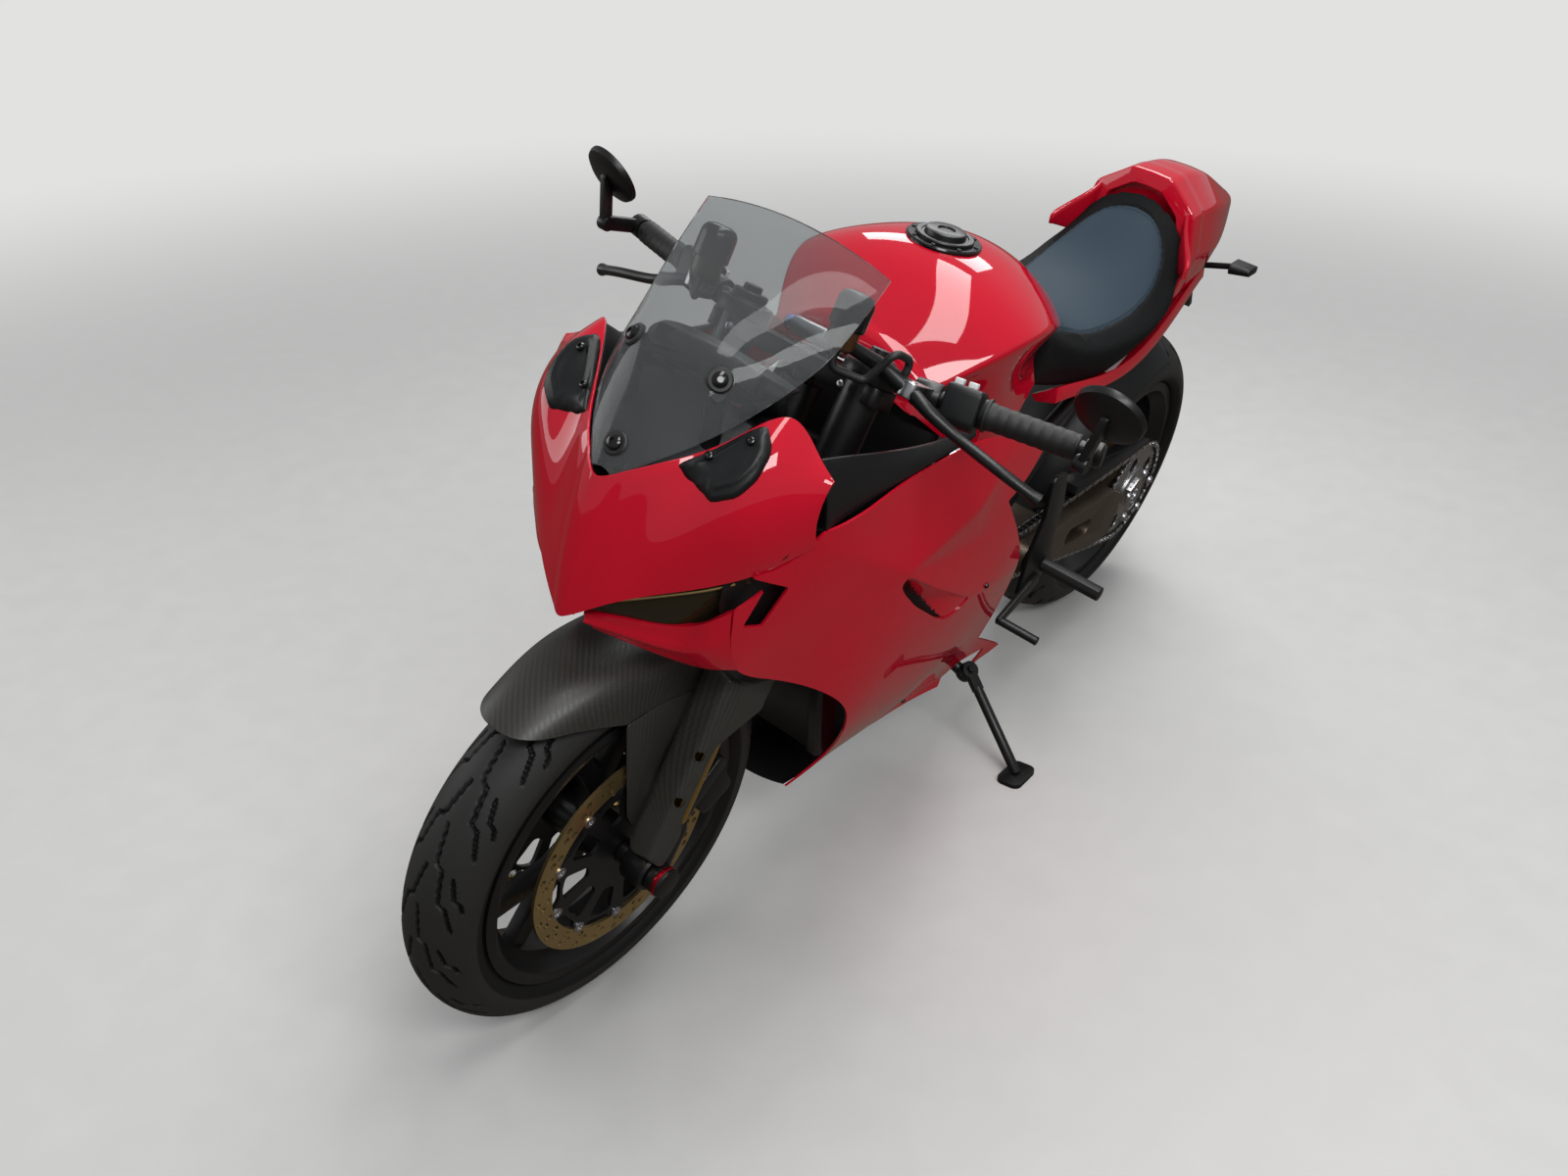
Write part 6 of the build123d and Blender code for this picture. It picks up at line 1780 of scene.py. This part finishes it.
    def cups(self):
        """Fluid cups with domed caps."""
        base = steer_point(135, 108, 0)
        cup = turned([(1052, 0), (1052, 12), (1055, 17), (1062, 19), (1080, 19), (1080, 0)],
                     base, STEER_UP, 40)
        dome = turned([(1078, 0), (1078, 21), (1080, 23), (1108, 23), (1114, 22), (1119, 18), (1121.5, 11),
                       (1122, 0)], base, STEER_UP, 40)
        steered_pair("fluid_cups", cup, "amber_nylon", ["reservoirs"])
        steered_pair("fluid_caps", dome, "polished_nylon")

    def mirrors(self):
        """Bar-end mirrors on jointed arms."""
        at, face = steer_point(23, 401, 1112), unit((-0.86, -0.10, 0.5))
        dish = turned([(-9, 0), (-9, 20), (-7, 34), (-3, 42), (2, 44), (5.5, 44), (6, 43), (6, 41),
                       (4.5, 40.5)], at, face, 56)
        glass = turned([(4.3, 0), (4.3, 40.8), (3, 41)], at, face, 56)
        plug = turned([(0, 0), (0, 15), (3, 16), (20, 16), (24, 13), (24, 0)],
                      BAR_OUT + BAR_WAY * 0.3, BAR_WAY, 32)
        elbow = steer_point(8, 392, 1050)
        arms = joined(flat_bar(BAR_OUT + BAR_WAY * 14, elbow, 20, 9, LEFT),
                      flat_bar(elbow, at - face * 8, 18, 9, LEFT),
                      turned([(-8, 0), (-8, 10), (-6, 11), (6, 11), (8, 10), (8, 0)], elbow, LEFT, 24))
        steered_pair("mirror_bodies", joined(dish, plug, arms), "powder_coat", ["mirrors"])
        steered_pair("mirror_glasses", glass, "silvered_glass")


class BIKE_OT_chain(bpy.types.Operator):
    """Hang the chain's links along its two runs and around both sprockets"""

    bl_idname = "bike.chain"
    bl_label = "Chain"

    def execute(self, context):
        pitch, middle = 15.875, 108.0
        front, rear = np.array([-140.0, 402.0]), np.array([REAR_AXLE[0], REAR_AXLE[2]])
        small, large = (pitch / 2 / sin(pi / teeth) for teeth in (15, 43))
        gap = front - rear
        slope, spread = atan2(gap[1], gap[0]), np.arcsin((large - small) / np.linalg.norm(gap))
        upper, lower = slope + pi / 2 - spread, slope - pi / 2 + spread
        loop = [rear + large * np.array([cos(a), sin(a)]) for a in np.linspace(upper, lower + 2 * pi, 120)]
        loop += [front + small * np.array([cos(a), sin(a)]) for a in np.linspace(lower, upper, 40)]
        loop = np.array(loop + loop[:1])
        reach = reach_along(loop)
        count = int(reach[-1] / pitch / 2) * 2
        at = np.array([[np.interp(d, reach, loop[:, k]) for k in (0, 1)]
                       for d in np.arange(count) * reach[-1] / count])
        outer, inner = [], []
        for k in range(count):
            a, b = at[k], at[(k + 1) % count]
            spot = (a + b) / 2
            links = outer if k % 2 else inner
            links.append(((spot[0], middle, spot[1]), (0, 1, 0), (b[0] - a[0], 0, b[1] - a[1])))
        h = pitch / 2
        waist = rounded([(-h - 6.6, -4), (-h, -7), (0, -4.6), (h, -7), (h + 6.6, -4), (h + 6.6, 4), (h, 7),
                         (0, 4.6), (-h, 7), (-h - 6.6, 4)], 3, 2)
        wide = joined(*(prism(waist, (0, 0, z), (1, 0, 0), (0, 1, 0), 1.6) for z in (-7.6, 6.0)),
                      *(turned([(-8.6, 0), (-8.6, 2.6), (8.6, 2.6), (8.6, 0)], (x, 0, 0), (0, 0, 1), 8)
                        for x in (-h, h)))
        slim = joined(*(prism(waist, (0, 0, z), (1, 0, 0), (0, 1, 0), 1.6) for z in (-5.6, 4.0)),
                      *(turned([(-4, 0), (-4, 5), (4, 5), (4, 0)], (x, 0, 0), (0, 0, 1), 10)
                        for x in (-h, h)))
        repeated("chain_outer_links", wide, outer, "machined_steel", "chassis", replaces=["chain"])
        repeated("chain_inner_links", slim, inner, "powder_coat", "chassis")
        return {"FINISHED"}


class BIKE_OT_fasteners(bpy.types.Operator):
    """Set bolts on the clamps, hub and panels, and close the gap behind the fork"""

    bl_idname = "bike.fasteners"
    bl_label = "Fasteners"

    def execute(self, context):
        clamp = []
        for way in (1, -1):
            for s in (812, 826, 1010):
                clamp.append((steer_point(FORK_F + 34, way * 92, s), STEER_AHEAD, LEFT))
        repeated("clamp_bolts", bolt_head(5.5), clamp, "machined_steel", "steering", steers=True)
        nuts = []
        for k in range(5):
            angle = 2 * pi * k / 5 + 0.3
            nuts.append((REAR_AXLE + np.array([52 * cos(angle), 128.5, 52 * sin(angle)]), LEFT, (1, 0, 0)))
        repeated("hub_nuts", bolt_head(9), nuts, "machined_steel", "chassis")
        sides = []
        for x, z in ((178, 580), (60, 200)):
            depth = flank_depth(np.array([(x, z)], float))[0]
            near = flank_depth(np.array([(x, z + 6), (x, z - 6), (x + 6, z), (x - 6, z)], float))
            out = unit((-(near[2] - near[3]) / 12, 1, -(near[0] - near[1]) / 12))
            for way in (1, -1):
                mirror = np.array([1, way, 1])
                sides.append((np.array([x, depth + 0.2, z]) * mirror, out * mirror, (1, 0, 0)))
        repeated("panel_bolts", bolt_head(4.5), sides, "polished_nylon", "chassis")
        # Dark airbox wall between the radiator and the tank
        ys = np.linspace(-1, 1, 41)
        wall = [np.stack([x - 46 * np.abs(ys) ** 3, w * ys, np.full(41, z)], 1)
                for z, x, w in ((590, 372, 150), (650, 360, 150), (720, 346, 150), (790, 334, 142),
                                (850, 322, 128), (880, 306, 112))]
        add_piece("airbox_wall", grid(np.array(wall)), "abs_plastic", "chassis", core=(0, 0, 700), sharp=60,
                  thick=0.003)
        return {"FINISHED"}


OPERATORS = (
    BIKE_OT_stage, BIKE_OT_solids, BIKE_OT_tyres, BIKE_OT_brake_discs, BIKE_OT_nose, BIKE_OT_sides,
    BIKE_OT_tank, BIKE_OT_tail, BIKE_OT_screen, BIKE_OT_lamps, BIKE_OT_seat, BIKE_OT_fender, BIKE_OT_fork,
    BIKE_OT_controls, BIKE_OT_chain, BIKE_OT_fasteners,
)


class BIKE_PT_panel(bpy.types.Panel):
    """Sizes, colours and steps of the bike"""

    bl_idname = "BIKE_PT_panel"
    bl_label = "Sport bike"
    bl_space_type = "VIEW_3D"
    bl_region_type = "UI"
    bl_category = "Bike"

    def draw(self, context):
        for group in (context.scene.bike_paint, context.scene.bike_sizes):
            for key in group.__annotations__:
                self.layout.prop(group, key)
        for operator in OPERATORS:
            self.layout.operator(operator.bl_idname)


CLASSES = (BikePaint, BikeSizes, *OPERATORS, BIKE_PT_panel)


def register():
    for cls in CLASSES:
        bpy.utils.register_class(cls)
    bpy.types.Scene.bike_paint = bpy.props.PointerProperty(type=BikePaint)
    bpy.types.Scene.bike_sizes = bpy.props.PointerProperty(type=BikeSizes)


def unregister():
    del bpy.types.Scene.bike_sizes
    del bpy.types.Scene.bike_paint
    for cls in reversed(CLASSES):
        bpy.utils.unregister_class(cls)


def main():
    register()
    for operator in OPERATORS:
        group, name = operator.bl_idname.split(".")
        getattr(getattr(bpy.ops, group), name)()


if __name__ == "__main__":
    main()
